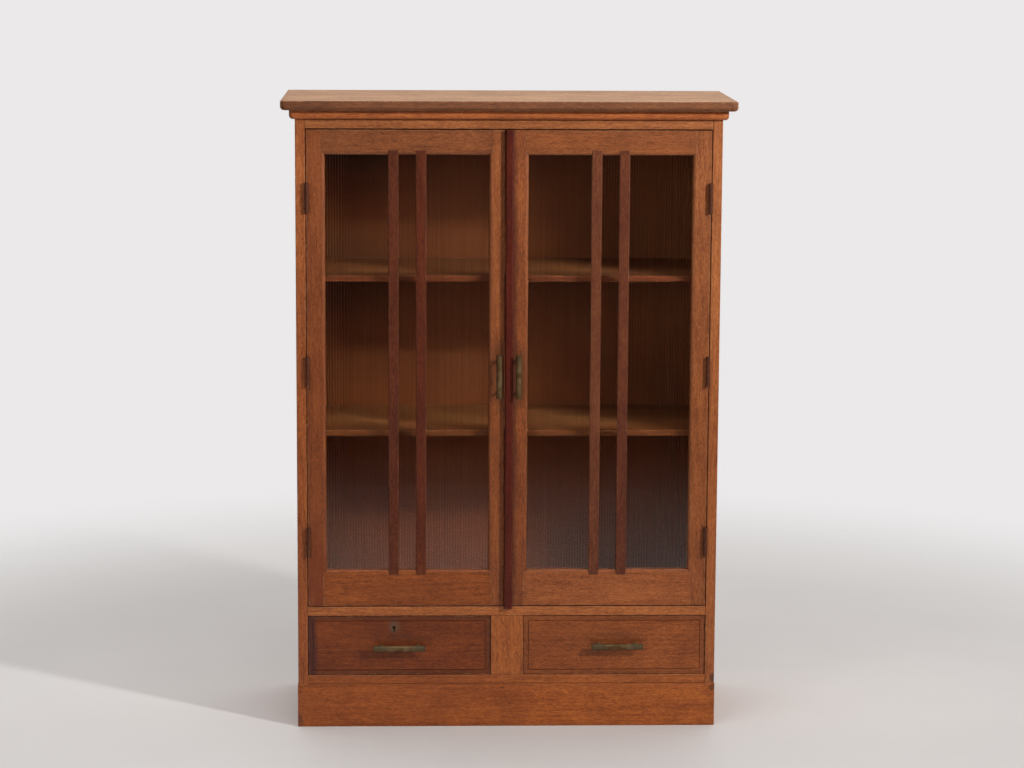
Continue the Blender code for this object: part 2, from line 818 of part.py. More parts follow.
def make_hinge(side, word, place_name, middle, door):
    """A butt hinge: the case's leaf with the pin, and the door's leaf."""
    axis = (side * HINGE_X, HINGE_Y)
    frame_outer = INNER_X - LEAF_GAP / 3
    frame_inner = frame_outer - LEAF_THICKNESS
    ends = sorted((side * frame_inner, side * frame_outer))
    leaf = prism([leaf_outline(middle, 0, PIN_RADIUS * 0.5)], SECTION, ends[0], ends[1])
    frame_name = word + "_" + place_name + "_hinge_frame_leaf"
    place(leaf, frame_name, "dark_iron")
    for index in range(0, HINGE_KNUCKLES, 2):
        low, high = knuckle_levels(middle, index)
        knuckle = cylinder(KNUCKLE_RADIUS, low, high, axis, 18)
        join(leaf, as_cutter(knuckle, frame_name + "_knuckle"))
    low = knuckle_levels(middle, 0)[0] + 0.004
    high = knuckle_levels(middle, HINGE_KNUCKLES - 1)[1] - 0.004
    pin = cylinder(PIN_RADIUS, low, high, axis, 12)
    join(leaf, as_cutter(pin, frame_name + "_pin"))

    door_outer = DOOR_EDGE_X - LEAF_GAP / 2
    door_inner = door_outer - LEAF_THICKNESS
    ends = sorted((side * door_inner, side * door_outer))
    reach = (PIN_RADIUS + PIN_CLEARANCE + KNUCKLE_RADIUS) / 2
    leaf = prism([leaf_outline(middle, 1, reach)], SECTION, ends[0], ends[1])
    door_name = word + "_" + place_name + "_hinge_door_leaf"
    place(leaf, door_name, "dark_iron", door)
    for index in range(1, HINGE_KNUCKLES, 2):
        low, high = knuckle_levels(middle, index)
        knuckle = cylinder(KNUCKLE_RADIUS, low, high, axis, 18)
        join(leaf, as_cutter(knuckle, door_name + "_knuckle"))
    low = middle - HINGE_HEIGHT / 2 - 0.002
    high = middle + HINGE_HEIGHT / 2 + 0.002
    bore = cylinder(PIN_RADIUS + PIN_CLEARANCE, low, high, axis, 12)
    cut(leaf, as_cutter(bore, door_name + "_bore"))


def hinge_gain(side, name, middle):
    """Room for the door's leaf in the edge of the hinge stile."""
    deep = DOOR_EDGE_X - LEAF_GAP / 2 - LEAF_THICKNESS - GAP
    ends = sorted((side * deep, side * (DOOR_EDGE_X + 0.01)))
    room = block(
        (ends[0], FRONT - 0.01, middle - HINGE_HEIGHT / 2 - GAP),
        (ends[1], depth(LEAF_WIDTH) + GAP, middle + HINGE_HEIGHT / 2 + GAP),
    )
    return as_cutter(room, name + "_gain")


def half_round(width, steps):
    """Section of a pull: a flat back and a rounded face, as (across, forward)."""
    edge = 0.002
    points = [(-width / 2, 0.0)]
    for step in range(steps + 1):
        angle = math.pi * step / steps
        bulge = (PULL_THICKNESS - edge) * math.sin(angle)
        points.append((-width / 2 * math.cos(angle), edge + bulge))
    points.append((width / 2, 0.0))
    return points


def make_pull(name, middle, length, width, spacing, upright, face, parent):
    """A half-round bar on two round posts that end on the face behind it."""
    flat = face - PULL_STANDOFF
    section = half_round(width, 8)
    half = length / 2
    if upright:
        loop = [(middle[0] + across, flat - out) for across, out in section]
        item = prism([loop], PLAN, middle[1] - half, middle[1] + half)
    else:
        loop = [(flat - out, middle[1] + across) for across, out in section]
        item = prism([loop], SECTION, middle[0] - half, middle[0] + half)
    place(item, name, "aged_brass", parent)
    ease(item, 0.0008)
    reach = PULL_STANDOFF + PULL_THICKNESS / 3
    for way in (-1, 1):
        offset = way * spacing / 2
        post = cylinder(POST_RADIUS, -reach / 2, reach / 2, (0.0, 0.0), 14)
        post.rotation_euler = (math.pi / 2, 0.0, 0.0)
        across = middle[0] if upright else middle[0] + offset
        level = middle[1] + offset if upright else middle[1]
        post.location = (across, face - GAP - reach / 2, level)
        join(item, as_cutter(post, name + "_post"))
    return item


def pivot(name, spot):
    """An empty on a joint, which carries the pieces that move with it."""
    item = bpy.data.objects.new(name, None)
    item.empty_display_size = 0.05
    item.location = spot
    PARTS.objects.link(item)
    return item


def make_door(word, side):
    """One framed door with its pane, bars, hinge leaves and pull."""
    door = pivot(word + "_door_axis", (side * HINGE_X, HINGE_Y, DOOR_LOW))
    meeting = MEETING_X + side * MEETING_GAP / 2
    stile = make_stile(word + "_door_hinge_stile", side * DOOR_EDGE_X, -side, HINGE_STILE_WIDTH, door)
    for place_name, middle in zip(HINGE_NAMES, HINGE_MIDDLES):
        make_hinge(side, word, place_name, middle, door)
        cut(stile, hinge_gain(side, word + "_" + place_name, middle))
    width = MEETING_SIGHT - side * meeting
    make_stile(word + "_door_meeting_stile", meeting, side, width, door)
    left, right = sorted((side * MEETING_SIGHT, side * GLASS_OUTER))
    shoulders = (left - LIP_WIDTH, right + LIP_WIDTH)
    make_rail(word + "_door_top_rail", DOOR_TOP, -1, TOP_RAIL_WIDTH, *shoulders, door)
    make_rail(word + "_door_bottom_rail", DOOR_LOW, 1, BOTTOM_RAIL_WIDTH, *shoulders, door)
    copes = (
        cope_cutter(word + "_cope_top", DOOR_TOP, -1, TOP_RAIL_WIDTH, left, right),
        cope_cutter(word + "_cope_bottom", DOOR_LOW, 1, BOTTOM_RAIL_WIDTH, left, right),
    )
    middle = (left + right) / 2
    make_bar(word + "_door_left_bar", middle - BAR_SPACING / 2, door, copes)
    make_bar(word + "_door_right_bar", middle + BAR_SPACING / 2, door, copes)
    make_pane(word + "_door_pane", left, right, door)
    make_glazing_bead(word + "_door_glazing_bead", left, right, door)
    across = LEFT_PULL_X if side < 0 else RIGHT_PULL_X
    make_pull(
        word + "_door_pull",
        (across, DOOR_LOW + DOOR_PULL_RISE),
        DOOR_PULL_LENGTH,
        DOOR_PULL_WIDTH,
        DOOR_PULL_POST_SPACING,
        True,
        FRONT,
        door,
    )
    if side > 0:
        make_meeting_bead(meeting, door)


def make_meeting_bead(edge, door):
    """The rounded bead planted on the right door's meeting edge."""
    back = FRONT - GAP
    face = back - BEAD_PROJECTION
    radii = (BEAD_ROUND, BEAD_ROUND)
    loop = quarter((edge + BEAD_ROUND, face + BEAD_ROUND), 2, radii, 4)
    loop += quarter((edge + BEAD_WIDTH - BEAD_ROUND, face + BEAD_ROUND), 3, radii, 4)
    loop += [(edge + BEAD_WIDTH, back), (edge, back)]
    item = prism([loop], PLAN, DOOR_LOW - BEAD_OVERHANG, DOOR_TOP)
    place(item, "meeting_bead", "red_oak", door)


def tail_outline(front_back, low, high, index, grow):
    """One dovetail seen from the side, wider at its tip, grown for its socket."""
    pitch = (high - low) / TAIL_COUNT
    middle = low + pitch * (index + 0.5)
    root = pitch * 0.27 + grow
    tip = root + TAIL_SPREAD
    end = front_back - TAIL_LENGTH - grow
    return [
        (front_back + GAP, middle - root),
        (end, middle - tip),
        (end, middle + tip),
        (front_back + GAP, middle + root),
    ]


def drawer_side_outline(front_back, back, low, high):
    """Side board of a drawer, with dovetails at its front end."""
    loop = [(back, high), (back, low), (front_back + GAP, low)]
    for index in range(TAIL_COUNT):
        loop += tail_outline(front_back, low, high, index, 0.0)
    loop.append((front_back + GAP, high))
    return loop


def keyhole_outline(across, level, grow):
    """A round hole with a slot below it, as (x, z)."""
    radius = KEYHOLE_RADIUS + grow
    half = KEYHOLE_SLOT / 2 + grow
    open_angle = math.asin(half / radius)
    points = []
    steps = 12
    for step in range(steps + 1):
        angle = -math.pi / 2 + open_angle + (2 * math.pi - 2 * open_angle) * step / steps
        points.append((across + radius * math.cos(angle), level + radius * math.sin(angle)))
    points.append((across - half, level - KEYHOLE_TAIL - grow))
    points.append((across + half, level - KEYHOLE_TAIL - grow))
    return points


def ring(low, high, outer, inner):
    """Two rectangles, grown by outer and shrunk by inner, as a flat frame."""
    loops = []
    for grow in (outer, -inner):
        loops.append(
            [
                (low[0] - grow, low[1] - grow),
                (high[0] + grow, low[1] - grow),
                (high[0] + grow, high[1] + grow),
                (low[0] - grow, high[1] + grow),
            ]
        )
    return loops


def make_drawer(word, side):
    """A drawer: fielded front, dovetailed box and pull."""
    ends = sorted(
        (
            side * (CENTRE_STILE_WIDTH / 2 + DRAWER_SIDE_GAP),
            side * (INNER_X - DRAWER_SIDE_GAP),
        )
    )
    low = BASE_TOP + DRAWER_BOTTOM_GAP
    high = WAIST_LOW - DRAWER_TOP_GAP
    face = DRAWER_FRONT_Y
    behind = face + DRAWER_FRONT_THICKNESS
    middle = ((ends[0] + ends[1]) / 2, (low + high) / 2)
    drawer = pivot(word + "_drawer_slide", (middle[0], face, middle[1]))
    front = block((ends[0], face, low), (ends[1], behind, high))
    place(front, word + "_drawer_front", "oak", drawer)
    corners = ((ends[0], low), (ends[1], high))
    sink = prism(
        ring(corners[0], corners[1], 0.01, BORDER_WIDTH - GROOVE_WIDTH / 2),
        ELEVATION,
        face - 0.01,
        face + BORDER_SINK,
    )
    cut(front, as_cutter(sink, word + "_border"))
    groove = prism(
        ring(corners[0], corners[1], GROOVE_WIDTH - BORDER_WIDTH, BORDER_WIDTH),
        ELEVATION,
        face - 0.01,
        face + GROOVE_DEPTH,
    )
    cut(front, as_cutter(groove, word + "_groove"))
    make_drawer_box(word, ends, behind, drawer, front)
    shift = RIGHT_DRAWER_PULL_SHIFT if side > 0 else 0.0
    drop = RIGHT_DRAWER_PULL_DROP if side > 0 else LEFT_DRAWER_PULL_DROP
    make_pull(
        word + "_drawer_pull",
        (middle[0] + shift, middle[1] - drop),
        DRAWER_PULL_LENGTH,
        DRAWER_PULL_WIDTH,
        DRAWER_PULL_POST_SPACING,
        False,
        face,
        drawer,
    )
    if side < 0:
        make_lock(middle[0] + KEYHOLE_OFFSET, high, face, behind, drawer, front)


def make_drawer_box(word, ends, behind, drawer, front):
    """Two dovetailed sides, a back and a bottom, glued up as one box."""
    low = BASE_TOP + RUN_CLEARANCE
    high = WAIST_LOW - BOX_TOP_GAP
    back = INNER_BACK - BOX_BACK_GAP
    outline = drawer_side_outline(behind, back, low, high)
    thick = BOX_SIDE_THICKNESS
    box = prism([outline], SECTION, ends[0], ends[0] + thick)
    place(box, word + "_drawer_box", "inner_oak", drawer)
    other = prism([outline], SECTION, ends[1] - thick, ends[1])
    join(box, as_cutter(other, word + "_box_far_side"))
    inset = thick / 2
    rear = block(
        (ends[0] + inset, back - 0.001 - BOX_BACK_THICKNESS, low + 0.001),
        (ends[1] - inset, back - 0.001, high - 0.006),
    )
    join(box, as_cutter(rear, word + "_box_back"))
    floor = block(
        (ends[0] + inset, behind + 2 * GAP, low + BOX_BOTTOM_RISE),
        (ends[1] - inset, back - 0.001 - BOX_BACK_THICKNESS / 2, low + BOX_BOTTOM_RISE + BOX_BOTTOM_THICKNESS),
    )
    join(box, as_cutter(floor, word + "_box_floor"))
    for end, way in ((ends[0], 1), (ends[1], -1)):
        sides = sorted((end - way * 0.01, end + way * (thick + TAIL_FIT)))
        for index in range(TAIL_COUNT):
            socket = tail_outline(behind, low, high, index, TAIL_FIT)
            run = TAIL_SPREAD / TAIL_LENGTH
            deep = 0.005
            socket[0] = (socket[0][0] + deep, socket[0][1] + run * deep)
            socket[3] = (socket[3][0] + deep, socket[3][1] - run * deep)
            cutter = prism([socket], SECTION, sides[0], sides[1])
            cut(front, as_cutter(cutter, word + "_socket"))


def make_lock(across, top, face, behind, drawer, front):
    """The lock let into the back of the front, with a liner out to the keyhole."""
    level = top - KEYHOLE_DROP
    plate = behind - LOCK_THICKNESS
    half = LOCK_WIDTH / 2
    lock = block((across - half, plate, top - LOCK_HEIGHT), (across + half, behind, top))
    place(lock, "left_drawer_lock", "aged_brass", drawer)
    liner = prism([keyhole_outline(across, level, LINER_WALL)], ELEVATION, face, plate + 0.002)
    join(lock, as_cutter(liner, "lock_liner"))
    hole = prism([keyhole_outline(across, level, 0.0)], ELEVATION, face - 0.005, behind - LOCK_BLIND)
    cut(lock, as_cutter(hole, "lock_keyhole"))
    room = block(
        (across - half - GAP, plate - GAP, top - LOCK_HEIGHT - GAP),
        (across + half + GAP, behind + 0.005, top + 0.005),
    )
    cut(front, as_cutter(room, "lock_room"))
    outline = keyhole_outline(across, level, LINER_WALL + GAP)
    passage = prism([outline], ELEVATION, face - 0.005, plate + 0.001)
    cut(front, as_cutter(passage, "lock_passage"))


make_case()
make_shelves()
make_door("left", -1)
make_door("right", 1)
make_drawer("left", -1)
make_drawer("right", 1)
bpy.context.view_layer.update()
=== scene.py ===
"""Looks of the display cabinet: its finishes, finer surfaces, light and camera.

Sizes are in metres and colours are linear. The cabinet faces -Y.
"""
import json
import math

import bpy
import numpy as np
from mathutils import Matrix, Vector


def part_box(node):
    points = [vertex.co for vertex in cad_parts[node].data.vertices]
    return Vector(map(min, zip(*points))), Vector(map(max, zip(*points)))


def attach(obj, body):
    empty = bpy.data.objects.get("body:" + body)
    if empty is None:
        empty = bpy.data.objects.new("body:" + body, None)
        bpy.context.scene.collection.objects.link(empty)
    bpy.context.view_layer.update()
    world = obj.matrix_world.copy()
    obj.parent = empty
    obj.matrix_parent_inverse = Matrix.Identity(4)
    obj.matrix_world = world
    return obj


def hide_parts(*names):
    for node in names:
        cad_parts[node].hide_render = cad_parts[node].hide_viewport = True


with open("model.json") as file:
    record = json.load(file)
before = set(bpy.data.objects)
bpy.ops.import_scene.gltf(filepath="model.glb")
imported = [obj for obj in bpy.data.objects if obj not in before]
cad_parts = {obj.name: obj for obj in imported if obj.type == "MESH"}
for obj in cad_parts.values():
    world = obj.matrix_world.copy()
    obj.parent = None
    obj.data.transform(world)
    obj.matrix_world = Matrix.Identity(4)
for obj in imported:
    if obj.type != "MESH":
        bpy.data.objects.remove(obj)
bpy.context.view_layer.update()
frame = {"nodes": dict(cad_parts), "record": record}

NODES = frame["nodes"]


# ---------------------------------------------------------------- shader maths

class Value:
    """A socket inside a node tree, so that Python arithmetic adds the Math nodes."""

    def __init__(self, graph, socket):
        self.graph = graph
        self.socket = socket

    def maths(self, operation, first, second=0.0):
        return self.graph.node("ShaderNodeMath", {"operation": operation}, {0: first, 1: second})

    def __add__(self, other):
        return self.maths("ADD", self, other)

    def __sub__(self, other):
        return self.maths("SUBTRACT", self, other)

    def __mul__(self, other):
        return self.maths("MULTIPLY", self, other)

    def __truediv__(self, other):
        return self.maths("DIVIDE", self, other)

    __radd__ = __add__
    __rmul__ = __mul__

    def __rsub__(self, other):
        return self.maths("SUBTRACT", other, self)

    def __abs__(self):
        return self.maths("ABSOLUTE", self)

    def least(self, other):
        return self.maths("MINIMUM", self, other)

    def most(self, other):
        return self.maths("MAXIMUM", self, other)

    def below(self, limit):
        return self.maths("LESS_THAN", self, limit)

    def sine(self):
        return self.maths("SINE", self)

    def root(self):
        return self.maths("SQRT", self)

    def rise(self, low, high, floor=0.0, ceiling=1.0):
        """A smooth step from floor at low to ceiling at high."""
        return self.graph.node(
            "ShaderNodeMapRange",
            {"interpolation_type": "SMOOTHSTEP"},
            {"Value": self, "From Min": low, "From Max": high, "To Min": floor, "To Max": ceiling},
        )


class Graph:
    """A node tree while it is put together."""

    def __init__(self, tree):
        self.tree = tree
        tree.nodes.clear()

    def node(self, kind, settings=None, values=None, output=0):
        """Add a node: its settings first, then the values or links of its sockets."""
        made = self.tree.nodes.new(kind)
        for key, value in (settings or {}).items():
            setattr(made, key, value)
        for key, value in (values or {}).items():
            socket = made.inputs[key]
            if isinstance(value, Value):
                self.tree.links.new(value.socket, socket)
            else:
                socket.default_value = (*value, 1.0) if socket.type == "RGBA" else value
        return Value(self, made.outputs[output]) if made.outputs else None

    def axes(self, vector):
        """The three parts of a vector, as values."""
        parts = self.node("ShaderNodeSeparateXYZ", {}, {0: vector}).socket.node
        return [Value(self, parts.outputs[axis]) for axis in range(3)]


class Finish(Graph):
    """One material, painted in the object's own coordinates."""

    def __init__(self, name):
        self.material = bpy.data.materials.new(name)
        self.material.use_nodes = True
        super().__init__(self.material.node_tree)
        self.place = self.node("ShaderNodeTexCoord", output="Object")

    def noise(self, scale, detail, rough, shift=(0.0, 0.0, 0.0), bend=0.0):
        """Noise with scale features per metre, along each axis or along all."""
        scale = scale if isinstance(scale, tuple) else (scale, scale, scale)
        moved = self.node("ShaderNodeVectorMath", {"operation": "ADD"}, {0: self.place, 1: shift})
        drawn = self.node("ShaderNodeVectorMath", {"operation": "MULTIPLY"}, {0: moved, 1: scale})
        return self.node(
            "ShaderNodeTexNoise",
            {},
            {"Vector": drawn, "Scale": 1.0, "Detail": detail, "Roughness": rough, "Distortion": bend},
        )

    def mix(self, share, first, second, blend="MIX"):
        """Colour between first and second, by share."""
        return self.node(
            "ShaderNodeMix",
            {"data_type": "RGBA", "blend_type": blend},
            {0: share, 6: first, 7: second},
            output=2,
        )

    def tint(self, colour, shade, share=1.0):
        """Colour multiplied by shade, by share."""
        return self.mix(share, colour, shade, "MULTIPLY")

    def ramp(self, value, stops):
        """Colour at value, between stops of (value, colour)."""
        colour = self.node("ShaderNodeValToRGB", {}, {0: value})
        elements = colour.socket.node.color_ramp.elements
        for spot, _ in stops[1:-1]:
            elements.new(spot)
        for element, (spot, shade) in zip(elements, stops):
            element.position, element.color = spot, (*shade, 1.0)
        return colour

    def bump(self, height, distance, strength):
        values = {"Height": height, "Distance": distance, "Strength": strength}
        return self.node("ShaderNodeBump", {}, values)

    def shown(self, shader):
        """The material, once it shows this shader."""
        self.node("ShaderNodeOutputMaterial", {}, {"Surface": shader})
        return self.material

    def surface(self, values):
        """The material as one principled surface."""
        return self.shown(self.node("ShaderNodeBsdfPrincipled", {}, values))


def edge_distance(parts, low, high):
    """Distance from a point on a board's face to the nearest edge of the board.

    Along each axis the distance to the box is half its size less the distance
    from its middle. On a face the least of the three is nothing, so the middle
    one of the three is the distance to the edge.
    """
    gaps = [
        (high[axis] - low[axis]) / 2 - abs(part - (high[axis] + low[axis]) / 2)
        for axis, part in enumerate(parts)
    ]
    return gaps[0].least(gaps[1]).most(gaps[0].most(gaps[1]).least(gaps[2]))


# ---------------------------------------------------------------- camera and light

VIEW_TURN, VIEW_DIP, VIEW_ROLL = map(math.radians, (1.916, 9.136, 0.299))
VIEW_PLACE = (-0.218, -6.974, 1.927)
SENSOR, FOCAL_SHARE = 36.0, 2908 / 1024

# Each lamp's place, the point that it faces, its size, power, colour and cone in degrees.
LAMPS = {
    "key": ((3.5, -3.2, 2.95), (0.0, -0.1, 1.85), 0.38, 36.5, (1.0, 1.0, 0.99), 72),
    "overhead": ((-0.3, -1.1, 3.9), (0.0, 0.0, 1.2), 1.6, 28.0, (1.0, 1.0, 1.0), 180),
    "fill": ((-2.6, -4.6, 1.9), (0.0, -0.1, 0.9), 1.6, 25.0, (1.0, 0.98, 0.96), 180),
}

ROOM_FRONT, ROOM_MIRRORED, ROOM_BACK, ROOM_BELOW = 0.21, 0.10, 0.95, 0.06
ROOM_AWAY, ROOM_UP = (-0.1, 0.35), (-0.06, 0.02)
ROOM_LIGHT, BACKDROP = (1.0, 0.985, 0.97), (0.83, 0.815, 0.815)
STRAIGHT_STEPS = 3.5


def make_camera():
    """The photograph's view: a long lens, a little left of the middle, looking slightly down."""
    level = math.cos(VIEW_DIP)
    ahead = Vector((math.sin(VIEW_TURN) * level, math.cos(VIEW_TURN) * level, -math.sin(VIEW_DIP)))
    right = Vector((math.cos(VIEW_TURN), -math.sin(VIEW_TURN), 0.0))
    above = right.cross(ahead)
    right, above = (
        math.cos(VIEW_ROLL) * right + math.sin(VIEW_ROLL) * above,
        math.cos(VIEW_ROLL) * above - math.sin(VIEW_ROLL) * right,
    )
    data = bpy.data.cameras.new("camera")
    data.sensor_width = SENSOR
    data.lens = SENSOR * FOCAL_SHARE
    data.clip_start, data.clip_end = 0.1, 100.0
    camera = bpy.data.objects.new("camera", data)
    facing = Matrix((right, above, -ahead)).transposed().to_4x4()
    camera.matrix_world = Matrix.Translation(VIEW_PLACE) @ facing
    bpy.context.scene.collection.objects.link(camera)
    bpy.context.scene.camera = camera


def make_lamp(name, place, target, size, power, colour, spread):
    """A round soft lamp that faces a point."""
    data = bpy.data.lights.new(name, "AREA")
    data.shape = "DISK"
    data.size = size
    data.energy = power
    data.color = colour
    data.spread = math.radians(spread)
    lamp = bpy.data.objects.new(name, data)
    place = Vector(place)
    facing = (Vector(target) - place).to_track_quat("-Z", "Y").to_matrix().to_4x4()
    lamp.matrix_world = Matrix.Translation(place) @ facing
    bpy.context.scene.collection.objects.link(lamp)


def make_room():
    """A pale backdrop behind the cabinet, a dimmer room in front of it and little below.

    The camera sees an even pale surround, also straight through the glass, which
    is the third step of its ray. Everything else sees a sky whose strength rises
    smoothly from the front to the back and drops below the horizon. Reflections
    see a darker front than the wood's own shading does.
    """
    world = bpy.data.worlds.new("surround")
    world.use_nodes = True
    graph = Graph(world.node_tree)
    camera, mirrored, passing, steps = (
        graph.node("ShaderNodeLightPath", output=name)
        for name in ("Is Camera Ray", "Is Glossy Ray", "Is Transmission Ray", "Ray Depth")
    )
    _, away, up = graph.axes(graph.node("ShaderNodeTexCoord", output="Generated"))
    front = ROOM_FRONT + (ROOM_MIRRORED - ROOM_FRONT) * mirrored
    strength = away.rise(*ROOM_AWAY, front, ROOM_BACK) * up.rise(*ROOM_UP, ROOM_BELOW, 1.0)
    glow = graph.node("ShaderNodeBackground", {}, {"Color": ROOM_LIGHT, "Strength": strength})
    backdrop = graph.node("ShaderNodeBackground", {}, {"Color": BACKDROP})
    direct = camera.most(passing * steps.below(STRAIGHT_STEPS))
    both = graph.node("ShaderNodeMixShader", {}, {0: direct, 1: glow, 2: backdrop})
    graph.node("ShaderNodeOutputWorld", {}, {"Surface": both})
    bpy.context.scene.world = world


# ---------------------------------------------------------------- finishes

OAK = {
    "dark": (0.160, 0.037, 0.008),
    "middle": (0.310, 0.083, 0.021),
    "light": (0.450, 0.140, 0.038),
    "bare": (0.520, 0.240, 0.110),
}
RED_OAK = {
    "dark": (0.055, 0.009, 0.005),
    "middle": (0.120, 0.022, 0.010),
    "light": (0.195, 0.048, 0.018),
    "bare": (0.250, 0.080, 0.040),
}
# The same oak as outside, made darker: partly painted shade inside the case.
INNER_OAK_AND_SHADE = {
    "dark": (0.104, 0.025, 0.006),
    "middle": (0.200, 0.054, 0.015),
    "light": (0.300, 0.091, 0.027),
    "bare": (0.380, 0.180, 0.080),
}
# A dark brown for grime, also used as painted shade: on the back panel, below the right drawer's pull
# and in the drawer fronts' borders.
GRIME_AND_SHADE = (0.060, 0.022, 0.010)

# Each wood's colours, roughness and specular level, and what the top board has instead.
WOODS = {
    "oak": (OAK, 0.42, 0.36),
    "red_oak": (RED_OAK, 0.42, 0.25),
    "inner_oak": (INNER_OAK_AND_SHADE, 0.55, 0.24),
}
TOP_GLOSS, TOP_SHEEN = 0.70, 0.40
# How strong the dark border beside the arrises is: grime, raised on the drawer fronts as painted shade.
BORDER, BORDERS = 0.14, {"left_drawer_front": 0.40, "right_drawer_front": 0.22}

# Layers of the grain: features per metre along it and across it, the noise's detail,
# roughness and bend, and the layer's share in the figure.
LAYERS = {
    "wobble": (1.3, 6.0, 2.0, 0.5, 0.0, 0.0),
    "bands": (3.0, 24.0, 2.0, 0.5, 0.4, 0.35),
    "streaks": (16.0, 300.0, 3.0, 0.62, 0.25, 0.50),
    "dashes": (65.0, 520.0, 2.0, 0.6, 0.0, 0.85),
    "crumbs": (170.0, 430.0, 2.0, 0.6, 0.0, 0.85),
    "fibres": (45.0, 1150.0, 2.0, 0.6, 0.0, 0.60),
    "pores": (120.0, 2300.0, 1.0, 0.5, 0.0, 0.0),
}
RING_WIDTH, RING_WOBBLE, RING_SHARE = 0.010, 14.0, 0.04
HEART_DEPTH, HEART_LEAN = 0.055, 0.05

# What each board's colour is multiplied by, fitted to how bright each board looks from the front:
# partly the board's own tone, partly painted light and shade.
TONES_AND_SHADE = {
    # The top board's pale colour is a painted reflection of the pale room behind it.
    "top_board": (1.36, 2.62, 5.30),
    "cornice_board": (1.45, 1.42, 1.37),
    "plinth_front": (1.15, 1.03, 0.60),
    "base_rail": (1.17, 1.09, 0.75),
    "frieze_rail": (1.19, 1.36, 1.55),
    "side_left": (1.15, 1.13, 1.09),
    "side_right": (1.29, 1.43, 1.58),
    "waist_rail": (1.36, 1.48, 1.44),
    "drawer_stile": (1.30, 1.38, 1.24),
    "left_door_hinge_stile": (0.75, 0.69, 0.66),
    "left_door_top_rail": (0.75, 0.80, 0.93),
    "left_door_bottom_rail": (0.86, 0.75, 0.47),
    "left_door_meeting_stile": (0.83, 0.82, 0.83),
    "right_door_meeting_stile": (0.84, 0.81, 0.82),
    "right_door_top_rail": (0.91, 0.97, 1.05),
    "right_door_hinge_stile": (0.92, 0.98, 1.10),
    "left_drawer_front": (0.55, 0.39, 0.17),
    "right_drawer_front": (0.88, 0.80, 0.61),
    "left_door_left_bar": (0.86, 0.92, 0.75),
    "left_door_right_bar": (0.86, 0.80, 0.56),
    "right_door_left_bar": (1.22, 1.74, 1.60),
    "right_door_right_bar": (1.14, 1.48, 1.37),
    "meeting_bead": (0.75, 0.38, 0.28),
    # The shelves' paler, greyer tops are partly a painted reflection.
    "upper_shelf": (1.25, 1.72, 2.30),
    "lower_shelf": (1.38, 1.90, 2.40),
}
# Painted shade that fades out between two depths behind a board's front. On the shelves the tops are
# darker towards the front and the front edges are darker. On the top board the front edge is kept
# darker than the top, whose pale colour is a painted reflection.
PAINTED_FRONT_BANDS = {
    "upper_shelf": ((0.010, 0.125, (0.36, 0.27, 0.19)), (0.0004, 0.0016, (1.25, 0.74, 0.22))),
    "lower_shelf": ((0.010, 0.125, (0.47, 0.33, 0.22)), (0.0004, 0.0016, (1.05, 0.94, 0.52))),
    "top_board": ((0.0020, 0.0080, (0.465, 0.280, 0.170)),),
}
# Marks and the back panel's painted light at its foot stay on a board's front: they fade out between
# these depths.
FRONT_REACH = (0.003, 0.006)
# Painted light and shade: upright oak boards go from darker below to lighter above, and the back panel
# is painted lighter at its foot.
UPRIGHT_SHADED_LOW, UPRIGHT_LIT_HIGH, UPRIGHT_LIGHT_RISE = (0.93, 0.88, 0.79), (1.07, 1.10, 1.15), (0.70, 1.25)
FOOT_LIGHT, FOOT_LIGHT_RISE = (1.24, 1.12, 1.12), (0.60, 0.80)
# The inner faces of the side boards: their painted shade, their |x| and their depth.
INSIDE_SHADE, INSIDE_X, INSIDE_DEPTH = (0.52, 0.58, 0.62), (0.4776, 0.4790), (0.024, 0.032)
# Soft ellipses on a board's front: x, z, the radii along them, colour and strength. Those marked below
# are painted light and shade.
MARKS = {
    "left_drawer_front": (
        (-0.2705, 0.2445, 0.017, 0.019, (0.125, 0.080, 0.052), 0.55),
        (-0.2578, 0.2100, 0.085, 0.028, GRIME_AND_SHADE, 0.30),
        # Painted shade: the left drawer front darker along its left border.
        (-0.4680, 0.2000, 0.018, 0.120, (0.055, 0.013, 0.010), 0.70),
    ),
    "right_drawer_front": (
        (0.2644, 0.2120, 0.095, 0.030, GRIME_AND_SHADE, 0.22),
        # Painted shadow of the pull, below and to the left of it.
        (0.2200, 0.1900, 0.050, 0.020, GRIME_AND_SHADE, 0.18),
    ),
    "left_door_meeting_stile": ((-0.0215, 0.8543, 0.030, 0.100, GRIME_AND_SHADE, 0.35),),
    "right_door_meeting_stile": (
        (0.0246, 0.8543, 0.030, 0.100, GRIME_AND_SHADE, 0.30),
        (0.0090, 0.8600, 0.018, 0.900, (0.075, 0.018, 0.010), 0.60),
    ),
    "back_panel": (
        # Painted shade on the back panel's upper left, and painted light on its right.
        (-0.380, 1.430, 0.26, 0.22, GRIME_AND_SHADE, 0.78),
        (-0.400, 1.050, 0.24, 0.14, GRIME_AND_SHADE, 0.50),
        (0.410, 1.130, 0.130, 0.420, (0.360, 0.120, 0.036), 0.45),
    ),
    "side_right": ((0.4960, 0.1180, 0.012, 0.014, GRIME_AND_SHADE, 0.80),),
    "left_door_hinge_stile": ((-0.4530, 0.3600, 0.035, 0.140, (0.160, 0.026, 0.005), 0.55),),
    # Painted shade: the base rail darker and redder towards its left end.
    "base_rail": ((-0.4500, 0.1080, 0.600, 0.600, (0.160, 0.030, 0.006), 0.28),),
    # Painted shadow: the bar darker towards its foot.
    "right_door_right_bar": ((0.2800, 0.3500, 0.030, 0.550, (0.070, 0.014, 0.008), 0.36),),
    "plinth_front": (
        # Painted shade: the plinth darker and redder towards its left end.
        (-0.4500, 0.0600, 0.600, 0.600, (0.160, 0.030, 0.006), 0.28),
        (0.4950, 0.0960, 0.010, 0.012, GRIME_AND_SHADE, 0.60),
        (-0.4980, 0.0150, 0.012, 0.020, GRIME_AND_SHADE, 0.50),
    ),
}


